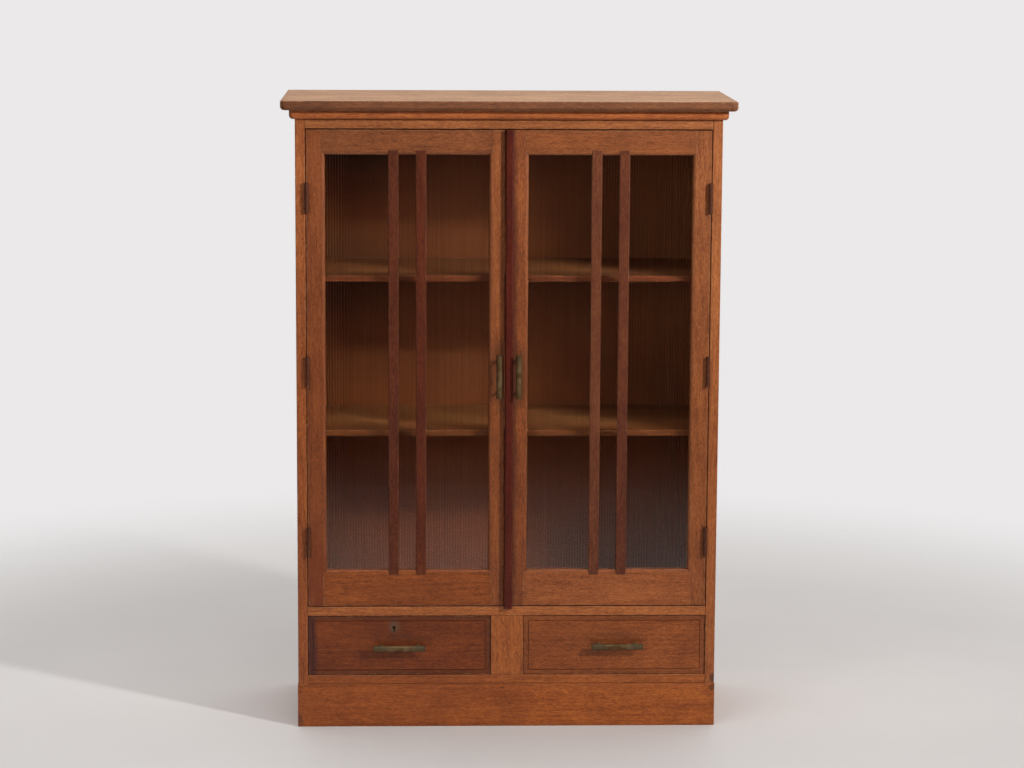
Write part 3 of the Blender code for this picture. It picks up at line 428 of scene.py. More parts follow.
def grain_layers(finish, parts, low, high, seed):
    """The axis of a board's grain, its growth rings and the noises drawn out along it.

    A ring is the sine of the distance from the tree's heart, which lies beside
    and behind the board and leans away along it.
    """
    size = [high[axis] - low[axis] for axis in range(3)]
    middle = [(high[axis] + low[axis]) / 2 for axis in range(3)]
    grain = int(np.argmax(size))
    others = (axis for axis in range(3) if axis != grain)
    across, through = sorted(others, key=lambda axis: -size[axis])
    shift = (seed * 0.37 % 3.1, seed * 0.73 % 2.9, seed * 0.19 % 3.7)
    layers = {}
    for layer, (along, other, detail, rough, bend, _) in LAYERS.items():
        scale = tuple(along if axis == grain else other for axis in range(3))
        layers[layer] = finish.noise(scale, detail, rough, shift, bend)
    side = parts[across] - (middle[across] + size[across] * (0.5 * math.sin(seed * 2.3)))
    lean = (HEART_LEAN * math.cos(seed * 1.7)) * (parts[grain] - middle[grain])
    inner = parts[through] - (middle[through] - HEART_DEPTH) + lean
    distance = (side * side + inner * inner).root()
    layers["rings"] = (distance * (2 * math.pi / RING_WIDTH) + RING_WOBBLE * layers["wobble"]).sine()
    layers["blotches"] = finish.noise(9.0, 3.0, 0.6, shift)
    layers["chips"] = finish.noise(60.0, 3.0, 0.7, shift).rise(0.46, 0.62)
    return grain, layers


def wood(name, slot, seed):
    """Stained and polished oak, its grain running along the board's longest side.

    The figure is the sum of growth rings cut by the board's face, broad bands,
    streaks 3 mm wide, dashes and crumbs 2 mm wide and fibres under 1 mm wide.
    Dark pores and pale flecks lie over it. The arrises are paler in ragged places, partly from wear and
    partly as painted highlight, and darker in a border beside them, which on the drawer fronts is
    painted shade. Each board's tone, bands and marks hold painted light and shade as well.
    """
    finish = Finish(name)
    colours, gloss, sheen = WOODS[slot]
    if name == "top_board":
        gloss, sheen = TOP_GLOSS, TOP_SHEEN
    low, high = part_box(name)
    parts = finish.axes(finish.place)
    grain, layers = grain_layers(finish, parts, low, high, seed)
    blotches, chips = layers["blotches"], layers["chips"]
    pores = layers["pores"].rise(0.60, 0.70) * (0.75 - 0.25 * layers["rings"])

    value = 0.5 + RING_SHARE * layers["rings"]
    for layer, (*_, share) in LAYERS.items():
        if share:
            value = value + share * (layers[layer] - 0.5)
    stops = zip((0.18, 0.50, 0.82), (colours["dark"], colours["middle"], colours["light"]))
    colour = finish.ramp(value, list(stops))
    colour = finish.mix(layers["crumbs"].rise(0.58, 0.72) * 0.16, colour, colours["light"])
    colour = finish.mix(pores * 0.42, colour, colours["dark"])
    worn = finish.mix(blotches.rise(0.3, 0.7), (0.88, 0.86, 0.84), (1.10, 1.10, 1.08))
    colour = finish.tint(colour, worn)
    # The board's tone: partly its own, partly painted light and shade.
    colour = finish.tint(colour, TONES_AND_SHADE.get(name, (1.0, 1.0, 1.0)))

    depth, up = parts[1] - low[1], parts[2]
    face = depth.rise(*FRONT_REACH, 1.0, 0.0)
    # Painted shade near the front of the shelves and on the top board's front edge.
    for start, stop, shade in PAINTED_FRONT_BANDS.get(name, ()):
        colour = finish.tint(colour, shade, depth.rise(start, stop, 1.0, 0.0))
    # Painted light: the back panel lighter at its foot.
    if name == "back_panel":
        colour = finish.tint(colour, FOOT_LIGHT, up.rise(*FOOT_LIGHT_RISE, 1.0, 0.0) * face)
    # Painted light and shade: upright oak boards darker below, lighter above.
    if grain == 2 and colours is OAK:
        colour = finish.tint(colour, finish.mix(up.rise(*UPRIGHT_LIGHT_RISE), UPRIGHT_SHADED_LOW, UPRIGHT_LIT_HIGH))
    # Painted shade: the side boards' inner faces darkened, which also cuts the light they throw into
    # the case.
    if name in ("side_left", "side_right"):
        inside = abs(parts[0]).rise(*INSIDE_X, 1.0, 0.0) * depth.rise(*INSIDE_DEPTH)
        colour = finish.tint(colour, INSIDE_SHADE, inside)

    edge = edge_distance(parts, low, high)
    # A darker border beside the arrises: grime, and on the drawer fronts painted shade.
    border = edge.rise(0.003, 0.014, BORDERS.get(name, BORDER), 0.0)
    colour = finish.mix(border * blotches.rise(0.25, 0.55), colour, GRIME_AND_SHADE)
    # Paler arrises in ragged places: wear, and painted highlights on the arrises.
    worn_and_highlit = edge.rise(0.0004, 0.0026, 1.0, 0.0) * chips
    colour = finish.mix(worn_and_highlit * 0.45, colour, colours["bare"])
    ragged = 0.4 * (blotches - 0.5) + 0.2 * (chips - 0.5)
    # Marks, some of them painted light and shade.
    for spot_x, spot_z, reach_x, reach_z, shade, strength in MARKS.get(name, ()):
        across, rise = (parts[0] - spot_x) / reach_x, (up - spot_z) / reach_z
        reach = (across * across + rise * rise).root() + ragged
        colour = finish.mix(reach.rise(0.4, 1.0, strength, 0.0) * face, colour, shade)

    streaks = layers["streaks"]
    height = 0.5 * layers["fibres"] + 0.3 * streaks - 0.6 * pores
    return finish.surface(
        {
            "Base Color": colour,
            "Roughness": gloss + 0.16 * (streaks - 0.5) + 0.18 * pores + 0.12 * worn_and_highlit,
            "Normal": finish.bump(height, 0.00025, 0.5),
            "Specular IOR Level": sheen,
        }
    )


def glass():
    """Dusty clear glass that lets the lamps' light through to the shelves."""
    finish = Finish("reeded_glass")
    dust = finish.noise((18.0, 18.0, 9.0), 3.0, 0.6)
    streak = finish.noise((210.0, 210.0, 1.5), 3.0, 0.65)
    # Painted light and shade: the tint is streaked along the reeds, standing for the light and dark
    # streaks the reeds show.
    colour = finish.mix(streak.rise(0.30, 0.70), (0.99, 0.985, 0.95), (0.82, 0.80, 0.74))
    clear = finish.node(
        "ShaderNodeBsdfPrincipled",
        {},
        {
            "Base Color": colour,
            "Transmission Weight": 1.0,
            "IOR": 1.5,
            "Roughness": 0.03 + 0.04 * dust.rise(0.45, 0.75),
            "Normal": finish.bump(streak, 0.0002, 0.2),
        },
    )
    passing = finish.node("ShaderNodeBsdfTransparent", {}, {"Color": (0.93, 0.94, 0.92)})
    lamp = finish.node("ShaderNodeLightPath", output="Is Shadow Ray")
    return finish.shown(finish.node("ShaderNodeMixShader", {}, {0: lamp, 1: clear, 2: passing}))


def brass(name, middle, axis, half, green, seed):
    """Aged brass: a brown patina, dull green towards the ends, worn paler in the middle."""
    finish = Finish(name)
    shift = (seed * 0.31, seed * 0.17, seed * 0.23)
    patch = finish.noise(55.0, 3.0, 0.55, shift)
    speck = finish.noise(600.0, 3.0, 0.7, shift)
    out = abs(finish.axes(finish.place)[axis] - middle) + 0.02 * (patch - 0.5)
    verdigris = out.rise(half - 0.042, half - 0.026) * green
    rub = out.rise(half * 0.25, half * 0.8, 1.0, 0.0) * patch.rise(0.4, 0.6) * 0.3
    tips = out.rise(half - 0.004, half - 0.0005, 0.0, 0.55)
    colour = finish.mix(patch.rise(0.35, 0.65), (0.118, 0.062, 0.022), (0.160, 0.088, 0.034))
    colour = finish.mix(verdigris, colour, (0.100, 0.068, 0.028))
    colour = finish.mix(rub, colour, (0.350, 0.245, 0.130))
    colour = finish.mix(speck.rise(0.60, 0.76) * 0.4, colour, (0.05, 0.035, 0.02))
    colour = finish.mix(tips, colour, (0.045, 0.030, 0.018))
    return finish.surface(
        {
            "Base Color": colour,
            "Metallic": 0.75 - 0.30 * verdigris,
            "Roughness": 0.44 + 0.10 * patch + 0.10 * (speck - 0.5),
            "Normal": finish.bump(0.6 * speck + 0.4 * patch, 0.0001, 0.35),
        }
    )


def iron():
    """Dark steel, brown with rust all over."""
    finish = Finish("dark_iron")
    rust = finish.noise(160.0, 4.0, 0.7)
    colour = finish.mix(rust.rise(0.45, 0.65), (0.082, 0.025, 0.011), (0.124, 0.032, 0.011))
    return finish.surface(
        {
            "Base Color": colour,
            "Metallic": 0.15,
            "Roughness": 0.42 + 0.3 * rust,
            "Specular IOR Level": 0.25,
            "Normal": finish.bump(rust, 0.0004, 0.4),
        }
    )


# ---------------------------------------------------------------- surfaces

# Which axes a section's two numbers and its run's own one become.
PLAN = (0, 1, 2)
ELEVATION = (0, 2, 1)
SECTION = (1, 2, 0)
RAIL = (2, 1, 0)


def quarter(steps):
    """Angles from 0 to 90 degrees, in equal steps."""
    return np.linspace(0.0, math.pi / 2, steps + 1)


def inward(section):
    """Unit vectors that point into a closed section at its points.

    Each is the mean of the normals of the two sides that meet at the point,
    drawn out so that both sides move by the same distance.
    """
    side = np.roll(section, -1, axis=0) - section
    side /= np.maximum(np.linalg.norm(side, axis=1, keepdims=True), 1e-9)
    normal = np.stack([-side[:, 1], side[:, 0]], axis=1)
    ahead = np.roll(section, -1, axis=0)
    area = np.sum(section[:, 0] * ahead[:, 1] - ahead[:, 0] * section[:, 1])
    normal *= np.sign(area)
    both = normal + np.roll(normal, 1, axis=0)
    both /= np.maximum(np.linalg.norm(both, axis=1, keepdims=True), 1e-9)
    lean = np.maximum(np.sum(both * normal, axis=1, keepdims=True), 0.4)
    return both / lean


def skin(loops, endless=False):
    """Vertices and faces of a stack of closed loops, closed by a flat face at each end.

    Face (i, j) joins loop i to loop i + 1 between points j and j + 1. An endless
    stack joins its last loop to its first instead. The faces are turned round
    if the volume they enclose comes out negative.
    """
    loops = np.asarray(loops, float)
    count, around, _ = loops.shape
    index = np.arange(count * around).reshape(count, around)
    rows = np.concatenate([index, index[:1]]) if endless else index
    after = np.roll(rows, -1, axis=1)
    quads = np.stack([rows[:-1], after[:-1], after[1:], rows[1:]], axis=-1).reshape(-1, 4)
    points = loops.reshape(-1, 3)
    corner = points[quads]
    volume = np.sum(corner[:, 0] * np.cross(corner[:, 1], corner[:, 2])) + np.sum(
        corner[:, 0] * np.cross(corner[:, 2], corner[:, 3])
    )
    faces = quads.tolist()
    if not endless:
        for ring, way in ((loops[0], -1), (loops[-1], 1)):
            fan = np.cross(ring[1:-1], ring[2:])
            volume += way * np.sum(ring[0] * fan)
        faces += [index[0, ::-1].tolist(), index[-1].tolist()]
    if volume < 0:
        faces = [face[::-1] for face in faces]
    return points, faces


def run(section, low, high, order, ease, steps):
    """A section carried straight from low to high, with rounded ends.

    At an angle a of the end's rounding, from 0 to 90 degrees, the section is
    pulled in by ease times (1 - sin a) and lies ease times (1 - cos a) from
    the end.
    """
    section = np.asarray(section, float)
    turn = quarter(steps)
    pull = ease * (1 - np.sin(turn))
    step = ease * (1 - np.cos(turn))
    pull = np.concatenate([pull, pull[::-1]])[:, None, None]
    along = np.concatenate([low + step, high - step[::-1]])[:, None]
    flat = section[None] + pull * inward(section)[None]
    points = np.empty((*flat.shape[:2], 3))
    points[..., order[0]] = flat[..., 0]
    points[..., order[1]] = flat[..., 1]
    points[..., order[2]] = along
    return skin(points)


def turned(profile, spot, order, around, endless=False):
    """A profile of (radius, level) carried round an axis through spot.

    At the turn t a point lies radius cos t and radius sin t away from the axis.
    """
    profile = np.asarray(profile, float)
    turn = np.linspace(0.0, 2 * math.pi, around + 1)[:-1]
    points = np.empty((len(profile), around, 3))
    points[..., order[0]] = spot[0] + profile[:, :1] * np.cos(turn)
    points[..., order[1]] = spot[1] + profile[:, :1] * np.sin(turn)
    points[..., order[2]] = profile[:, 1:]
    return skin(points, endless)


def piece(name, shells, body, finish, nodes=(), angle=35):
    """Put closed shells into one mesh, shade it smooth and let it ride on its body."""
    points, faces, start = [], [], 0
    for shell_points, shell_faces in shells:
        points.append(shell_points)
        faces += [[corner + start for corner in face] for face in shell_faces]
        start += len(shell_points)
    mesh = bpy.data.meshes.new(name)
    mesh.from_pydata(np.concatenate(points).tolist(), [], faces)
    mesh.materials.append(finish)
    mesh.shade_smooth()
    mesh.set_sharp_from_angle(angle=math.radians(angle))
    mesh.update()
    item = bpy.data.objects.new(name, mesh)
    bpy.context.scene.collection.objects.link(item)
    flat = item.modifiers.new("flat_faces", "WEIGHTED_NORMAL")
    flat.keep_sharp = True
    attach(item, body)
    if nodes:
        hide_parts(*nodes)


# ---------------------------------------------------------------- boards

SLOTS = {entry["node"]: entry["material_slot"] for entry in frame["record"]["subparts"]}
FINISHES = {}


def dress(node, finish):
    """Give a carried-over node its finish."""
    item = NODES[node]
    item.data.materials.clear()
    item.data.materials.append(finish)


def dress_boards():
    """Each board has its own stretch of grain along its length."""
    for seed, name in enumerate(sorted(NODES), 1):
        if SLOTS[name] in WOODS:
            FINISHES[name] = wood(name, SLOTS[name], seed)
            dress(name, FINISHES[name])


def moulded_board(name, node, lower, upper, corner):
    """A board with rounded front and end edges, and rounded corners in plan.

    Its outline goes round the front and both ends. It is carried up the
    thickness, pulled in by radius (1 - sin a) at the height radius (1 - cos a)
    from either face, with one radius below and another above.
    """
    low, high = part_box(node)
    turn = quarter(8)
    inset = np.concatenate([lower * (1 - np.sin(turn)), upper * (1 - np.sin(turn[::-1]))])[:, None]
    foot = low[2] + lower * (1 - np.cos(turn))
    brow = high[2] - upper * (1 - np.cos(turn[::-1]))
    level = np.concatenate([foot, brow])
    bend = np.maximum(corner - inset, 0.001)
    wide, face = high[0] - inset, low[1] + inset
    arc_x = wide - bend + bend * np.cos(turn)
    arc_y = face + bend - bend * np.sin(turn)
    back = np.full_like(inset, high[1])
    points = np.empty((len(level), 2 * len(turn) + 2, 3))
    points[..., 0] = np.concatenate([wide, arc_x, -arc_x[:, ::-1], -wide], axis=1)
    points[..., 1] = np.concatenate([back, arc_y, arc_y[:, ::-1], back], axis=1)
    points[..., 2] = level[:, None]
    piece(name, [skin(points)], "case", FINISHES[node], [node])


# ---------------------------------------------------------------- doors

GAP = 0.0003
# Half the width of a step that a section takes, too narrow to be seen.
HAIR = 0.00001
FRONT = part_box("left_door_top_rail")[0][1]
DOOR_LOW, DOOR_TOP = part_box("left_door_hinge_stile")[0][2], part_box("left_door_hinge_stile")[1][2]
THICKNESS, ARRIS, SOFT = 0.022, 0.0012, 0.0006
LIP, LIP_DEPTH, LIP_ROUND = 0.0076, 0.009, 0.0055
REBATE = LIP + 0.0006
MITRE_CUT = 0.0001
GLASS_LOW, GLASS_TOP = DOOR_LOW + 0.0867, DOOR_TOP - 0.0584
INNER_X, DOOR_EDGE = 0.477, 0.475
SIGHT, OUTER_SIGHT = 0.0455, DOOR_EDGE - 0.0433
MEETING_LEFT, MEETING_RIGHT = -0.0097, -0.0077

BAR_LAP, BAR_NARROWING = 0.0113, 0.002
BAR_FLAT, BAR_ROUND_WIDTH, BAR_ROUND_DEPTH = 0.0100, 0.0022, 0.0026
BEAD_ROUND = 0.0045
REED_PITCH, REED_HEIGHT, REED_STEPS = 0.0064, 0.0009, 10

PULL_THICKNESS, PULL_EDGE = 0.0085, 0.0016
POSTS_APART = {"door": 0.0765, "drawer": 0.088}
# A pull's post: its radius at each height above the wood.
POST = (
    (0.0001, 0.0), (0.0058, 0.0), (0.0060, 0.0010), (0.0056, 0.0017), (0.0044, 0.0024),
    (0.0040, 0.0070), (0.0042, 0.0150), (0.0048, 0.0190), (0.0048, 0.0205), (0.0001, 0.0205),
)
# Each pull's long axis, half its length and how green it is.
PULLS = {"door": (2, 0.0525, 0.15), "drawer": (0, 0.062, 0.9)}

HINGE_X, HINGE_Y = INNER_X - 0.0038, FRONT - 0.0053
HINGES = {"top": DOOR_TOP - 0.1585, "bottom": DOOR_LOW + 0.1562}
HINGES["middle"] = (HINGES["top"] + HINGES["bottom"]) / 2
HINGE_HEIGHT, KNUCKLES, KNUCKLE, KNUCKLE_GAP = 0.071, 5, 0.005, 0.0004
LEAF, LEAF_WIDTH, LEAF_GAP = 0.0015, 0.0195, 0.0006
# The case's leaf first, then the door's: how far its tabs pass the pin, and its bore.
TAB_PAST_PIN, BORES = (0.0010, 0.00365), (0.0019, 0.0023)
MOUTH = 0.0007
PIN_DOME, PIN_DOME_HEIGHT, PIN_SUNK = 0.0018, 0.0007, 0.0005
SCREW, SCREW_RISE, SCREW_SPOT, SCREW_ZIGZAG = 0.0030, 0.0235, 0.0105, 0.0025
SLOT_WIDTH, SCREW_DEPTH, SCREW_PROUD, SCREW_EASE = 0.0008, 0.0009, 0.00008, 0.00006


def door_profile(width):
    """Section of a door's stile or rail as (distance from the outer edge, depth behind the face).

    The outer arris is a quarter circle. The lip beside the glass is a quarter
    ellipse: 7.6 mm sin a across and 5.5 mm (1 - cos a) deep.
    """
    turn = quarter(6)
    arris = np.stack([ARRIS * (1 - np.cos(turn)), ARRIS * (1 - np.sin(turn))], axis=1)
    lip = np.stack([width - LIP + LIP * np.sin(turn), LIP_ROUND * (1 - np.cos(turn))], axis=1)
    body, leaf = width - REBATE, LEAF_WIDTH + GAP
    inside = [(width, LIP_DEPTH), (body, LIP_DEPTH), (body, THICKNESS - SOFT), (body - SOFT, THICKNESS)]
    outside = [(SOFT, THICKNESS), (0.0, THICKNESS - SOFT), (0.0, leaf), (0.0, leaf - HAIR)]
    return np.concatenate([arris, lip, inside, outside])


def door_member(start, way, width, levels, reach, order, gains=()):
    """A stile or rail: its section carried along levels, its lip cut off beyond reach.

    At each level the section's distance from the outer edge is held under
    reach, which grows by as much as the level does along a mitre. In a gain the
    outer edge is held back by the thickness of the hinge's leaf. The first and
    the last section are held in by the arris.
    """
    profile = door_profile(width)
    across = np.minimum(profile[:, 0], reach[:, None])
    deep = np.broadcast_to(profile[:, 1], across.shape).copy()
    hidden = profile[:, 1] < LEAF_WIDTH + GAP - HAIR / 2
    for low, high in gains:
        inside = ((levels > low) & (levels < high))[:, None] & hidden
        across = np.where(inside, np.maximum(across, LEAF + LEAF_GAP / 2 + GAP), across)
    ends, soft = [0, -1], ARRIS / 2
    across[ends] = np.clip(across[ends], soft, np.max(across[ends]) - soft)
    deep[ends] = np.clip(deep[ends], soft, THICKNESS - soft)
    points = np.empty((*across.shape, 3))
    points[..., order[0]] = start + way * across
    points[..., order[1]] = FRONT + deep
    points[..., order[2]] = levels[:, None]
    return skin(points)


def make_door_frame(word, side):
    """The stiles and rails of one door, their rounded lips mitred at the corners."""
    mitre = np.linspace(0.0, LIP, 9)
    low_cut, top_cut = GLASS_LOW - LIP + MITRE_CUT, GLASS_TOP + LIP - MITRE_CUT
    spots = [DOOR_LOW, DOOR_LOW + ARRIS / 2, DOOR_TOP - ARRIS / 2, DOOR_TOP]
    half = HINGE_HEIGHT / 2
    gains = [(middle - half - GAP, middle + half + GAP) for middle in HINGES.values()]
    steps = np.array(gains).ravel()
    meeting = MEETING_LEFT if side < 0 else MEETING_RIGHT
    for kind, start, way, width, cuts in (
        ("hinge_stile", side * DOOR_EDGE, -side, DOOR_EDGE - OUTER_SIGHT, gains),
        ("meeting_stile", meeting, side, SIGHT - side * meeting, ()),
    ):
        levels = [spots, low_cut + mitre, top_cut - mitre]
        levels += [steps - HAIR, steps + HAIR] if cuts else []
        levels = np.unique(np.concatenate(levels))
        reach = width - LIP + np.clip(np.minimum(levels - low_cut, top_cut - levels), 0.0, LIP)
        node = f"{word}_door_{kind}"
        shell = door_member(start, way, width, levels, reach, PLAN, cuts)
        piece(f"{word}_{kind}", [shell], word + "_door", FINISHES[node], [node])
    ends = sorted((side * (SIGHT - LIP), side * (OUTER_SIGHT + LIP)))
    left, right = ends[0] + GAP, ends[1] - GAP
    low_cut, top_cut = left + MITRE_CUT, right - MITRE_CUT
    levels = np.concatenate([[left], low_cut + mitre, top_cut - mitre[::-1], [right]])
    for kind, start, way, width in (
        ("top_rail", DOOR_TOP, -1, DOOR_TOP - GLASS_TOP),
        ("bottom_rail", DOOR_LOW, 1, GLASS_LOW - DOOR_LOW),
    ):
        reach = width - LIP + np.clip(np.minimum(levels - low_cut, top_cut - levels), 0.0, LIP)
        node = f"{word}_door_{kind}"
        shell = door_member(start, way, width, levels, reach, RAIL)
        piece(f"{word}_{kind}", [shell], word + "_door", FINISHES[node], [node])


def make_glazing_bar(name, node, body):
    """A bar with a rounded front, whose ends lap over the rails' rounded lips.

    Beyond the opening's edge by d, the bar's back follows the lip: the ellipse
    of the rail grown by the fit gap, and then the rail's face. In front, the
    section is flat for 10 mm each side of the middle and then an ellipse,
    2.2 mm sin a across and 2.6 mm (1 - cos a) deep, up to the angle at which it
    meets the back. Over the last 2 mm the bar narrows a little, in an arch.
    """
    low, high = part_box(node)
    middle = (low[0] + high[0]) / 2
    drop = np.concatenate([np.linspace(BAR_LAP, -0.98 * GAP, 34), [-1.02 * GAP, -0.004]])
    level = np.concatenate([GLASS_LOW - drop, (GLASS_TOP + drop)[::-1]])
    past = np.concatenate([drop, drop[::-1]])
    steep = np.clip((LIP - past) / (LIP + GAP), 0.0, 1.0)
    behind = LIP_ROUND - (LIP_ROUND + GAP) * np.sqrt(1 - steep**2)
    behind = np.where(past < -GAP, LIP_DEPTH, behind)
    end = np.clip((past - BAR_LAP + BAR_NARROWING) / BAR_NARROWING, 0.0, 1.0)
    arch = np.sqrt(1 - 0.98 * end**2)
    face = -GAP - 0.0007 * (0.2 + 0.8 * arch)
    widest = np.arccos(np.clip(1 - (behind - face) / BAR_ROUND_DEPTH, 0.0, 1.0))
    angle = np.linspace(0.0, 1.0, 9) * widest[:, None]
    across = (BAR_FLAT + BAR_ROUND_WIDTH * np.sin(angle)) * (0.9 + 0.1 * arch)[:, None]
    deep = face[:, None] + BAR_ROUND_DEPTH * (1 - np.cos(angle))
    rear = np.broadcast_to(behind[:, None], (len(level), 1))
    wide = across[:, -1:]
    points = np.empty((len(level), 2 * angle.shape[1] + 2, 3))
    points[..., 0] = middle + np.concatenate([-across[:, ::-1], across, wide, -wide], axis=1)
    points[..., 1] = FRONT + np.concatenate([deep[:, ::-1], deep, rear, rear], axis=1)
    points[..., 2] = level[:, None]
    piece(name, [skin(points)], body, FINISHES[node], [node])


def make_meeting_bead():
    """The bead on the right door's meeting edge: two quarter rounds with a flat between them."""
    low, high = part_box("meeting_bead")
    turn = quarter(8)
    left_x = low[0] + BEAD_ROUND * (1 - np.cos(turn))
    left_y = low[1] + BEAD_ROUND * (1 - np.sin(turn))
    left = np.stack([left_x, left_y], axis=1)
    right = np.stack([high[0] + low[0] - left[::-1, 0], left[::-1, 1]], axis=1)
    section = np.concatenate([left, right, [(high[0], high[1]), (low[0], high[1])]])
    shell = run(section, low[2], high[2], PLAN, 0.0009, 3)
    finish = FINISHES["meeting_bead"]
    piece("meeting_line_bead", [shell], "right_door", finish, ["meeting_bead"])


def reeded_section(low_x, high_x, front, back):
    """Plan of a pane: flat in front, and behind a row of arches.

    Each arch is REED_HEIGHT times |sin| of the way across it.
    """
    count = int((high_x - low_x) / REED_PITCH)
    start = (low_x + high_x) / 2 - count * REED_PITCH / 2
    way = np.linspace(count, 0, count * REED_STEPS + 1)
    bulge = REED_HEIGHT * np.abs(np.sin(math.pi * way))
    hollow = back - REED_HEIGHT
    reeds = np.stack([start + way * REED_PITCH, hollow + bulge], axis=1)
    ends = np.array([(low_x, hollow), (low_x, front), (high_x, front), (high_x, hollow)])
    return np.concatenate([reeds, ends])


def make_pane(word, finish):
    """One door's reeded pane."""
    low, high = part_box(word + "_door_pane")
    section = reeded_section(low[0], high[0], low[1], high[1])
    shell = run(section, low[2], high[2], PLAN, 0.0003, 1)
    piece(word + "_reeded_pane", [shell], word + "_door", finish, [word + "_door_pane"])


def make_pull(word, kind, seed):
    """A half-round bar with softened ends, on two collared posts.

    The bar's section has a flat back, and its face is half an ellipse. Each
    post is a turned profile: a collar against the wood and a plain shank.
    """
    node, upright = f"{word}_{kind}_pull", kind == "door"
    low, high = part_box(node)
    long_axis, half_length, green = PULLS[kind]
    wide_axis = 0 if upright else 2
    centre = (low[long_axis] + high[long_axis]) / 2
    finish = brass(node, centre, long_axis, half_length, green, seed)
    flat, crown = low[1] + PULL_THICKNESS, low[1]
    middle = (low[wide_axis] + high[wide_axis]) / 2
    half = (high[wide_axis] - low[wide_axis]) / 2
    turn = np.linspace(0.0, math.pi, 19)
    bulge = PULL_EDGE + (flat - crown - PULL_EDGE) * np.sin(turn)
    across = np.concatenate([[-half + 0.0008], -half * np.cos(turn), [half - 0.0008]])
    out = np.concatenate([[0.0], bulge, [0.0]])
    if upright:
        section, order = np.stack([middle + across, flat - out], axis=1), PLAN
    else:
        section, order = np.stack([flat - out, middle + across], axis=1), SECTION
    shells = [run(section, low[long_axis], high[long_axis], order, 0.0014, 4)]
    profile = np.array([(radius, high[1] - level) for radius, level in POST])
    for way in (-1, 1):
        along = centre + way * POSTS_APART[kind] / 2
        spot = (middle, along) if upright else (along, middle)
        shells.append(turned(profile, spot, ELEVATION, 20))
    piece(f"{word}_{kind}_handle", shells, f"{word}_{kind}", finish, [node])


# ---------------------------------------------------------------- hinges and nails

# Radius and height of the nail heads, and how many are in the rows on the back panel.
PLINTH_NAIL, BACK_NAIL = (0.0021, 0.0003), (0.0026, 0.0006)
BACK_NAILS_ACROSS, BACK_NAILS_UP = 9, 11


def head(spot, order, level, out, radius, height):
    """A domed nail head: radius sin a across and height cos a proud, at the angle a from its crown."""
    turn = np.linspace(0.04, math.pi / 2, 5)
    profile = np.stack([radius * np.sin(turn), level + out * height * np.cos(turn)], axis=1)
    return turned(np.concatenate([profile, [(radius, level - out * 0.0005)]]), spot, order, 12)


def slotted(spot, order, level, out, radius, turn):
    """A countersunk screw head: two half moons with the slot between them."""
    shells = []
    start = math.asin(SLOT_WIDTH / 2 / radius)
    low, high = sorted((level - out * SCREW_DEPTH, level + out * SCREW_PROUD))
    for half in (0.0, math.pi):
        arc = np.linspace(start, math.pi - start, 9) + half + turn
        moon = np.stack([spot[0] + radius * np.cos(arc), spot[1] + radius * np.sin(arc)], axis=1)
        shells.append(run(moon, low, high, order, SCREW_EASE, 1))
    return shells


def make_hinge_leaf(name, node, side, middle, first, outer, face, finish, body):
    """One leaf of a butt hinge: a comb of tabs, its own knuckles and three countersunk screws.

    The leaf lies inwards of outer, its screws are in the face (x, way out), and
    its knuckles are every second one from first. Each is a tube: the outer and
    inner circle with rounded mouths, carried round the pin. The case's leaf,
    whose first knuckle is the lowest, also has the pin, which shows at its two
    ends as a low dome.
    """
    pitch = (HINGE_HEIGHT + KNUCKLE_GAP) / KNUCKLES
    start = middle - HINGE_HEIGHT / 2 + pitch * np.arange(KNUCKLES)
    end = start + pitch - KNUCKLE_GAP
    edge, reach, back = FRONT + GAP, HINGE_Y + TAB_PAST_PIN[first], FRONT + LEAF_WIDTH
    outline = [(back, start[0])]
    for index in range(KNUCKLES):
        depth = reach if index % 2 == first else edge
        outline += [(depth, start[index]), (depth, end[index])]
    outline.append((back, end[-1]))
    shells = [run(np.array(outline), *sorted((outer, outer - side * LEAF)), SECTION, 0.0, 1)]
    bore, turn = BORES[first], quarter(3)
    mouth, step = KNUCKLE - MOUTH * (1 - np.sin(turn)), MOUTH * (1 - np.cos(turn))
    axis = (side * HINGE_X, HINGE_Y)
    for low, high in zip(start[first::2], end[first::2]):
        radius = np.concatenate([[bore], mouth, mouth[::-1], [bore]])
        level = np.concatenate([[low], low + step, (high - step)[::-1], [high]])
        shells.append(turned(np.stack([radius, level], axis=1), axis, PLAN, 28, endless=True))
    if not first:
        dome, rise = PIN_DOME * np.sin(turn), PIN_DOME_HEIGHT * np.cos(turn) - PIN_SUNK
        radius = np.maximum(np.concatenate([dome, dome[::-1]]), 0.0001)
        level = np.concatenate([start[0] - rise, (end[-1] + rise)[::-1]])
        shells.append(turned(np.stack([radius, level], axis=1), axis, PLAN, 16))
    for index, rise in enumerate((-SCREW_RISE, 0.0, SCREW_RISE)):
        spot = (FRONT + SCREW_SPOT + SCREW_ZIGZAG * (-1) ** index, middle + rise)
        shells += slotted(spot, SECTION, *face, SCREW, 0.7 * index + middle * 9)
    piece(name, shells, body, finish, [node], 40)


def make_hinges(finish):
    """Three butt hinges for each door."""
    for word, side in (("left", -1), ("right", 1)):
        for level_name, middle in HINGES.items():
            stem = f"{word}_{level_name}"
            outer = side * (INNER_X - LEAF_GAP / 3)
            make_hinge_leaf(
                stem + "_case_leaf", stem + "_hinge_frame_leaf", side, middle, 0,
                outer, (outer - side * LEAF, -side), finish, "case",
            )
            outer = side * (DOOR_EDGE - LEAF_GAP / 2)
            make_hinge_leaf(
                stem + "_door_leaf", stem + "_hinge_door_leaf", side, middle, 1,
                outer, (outer, side), finish, word + "_door",
            )


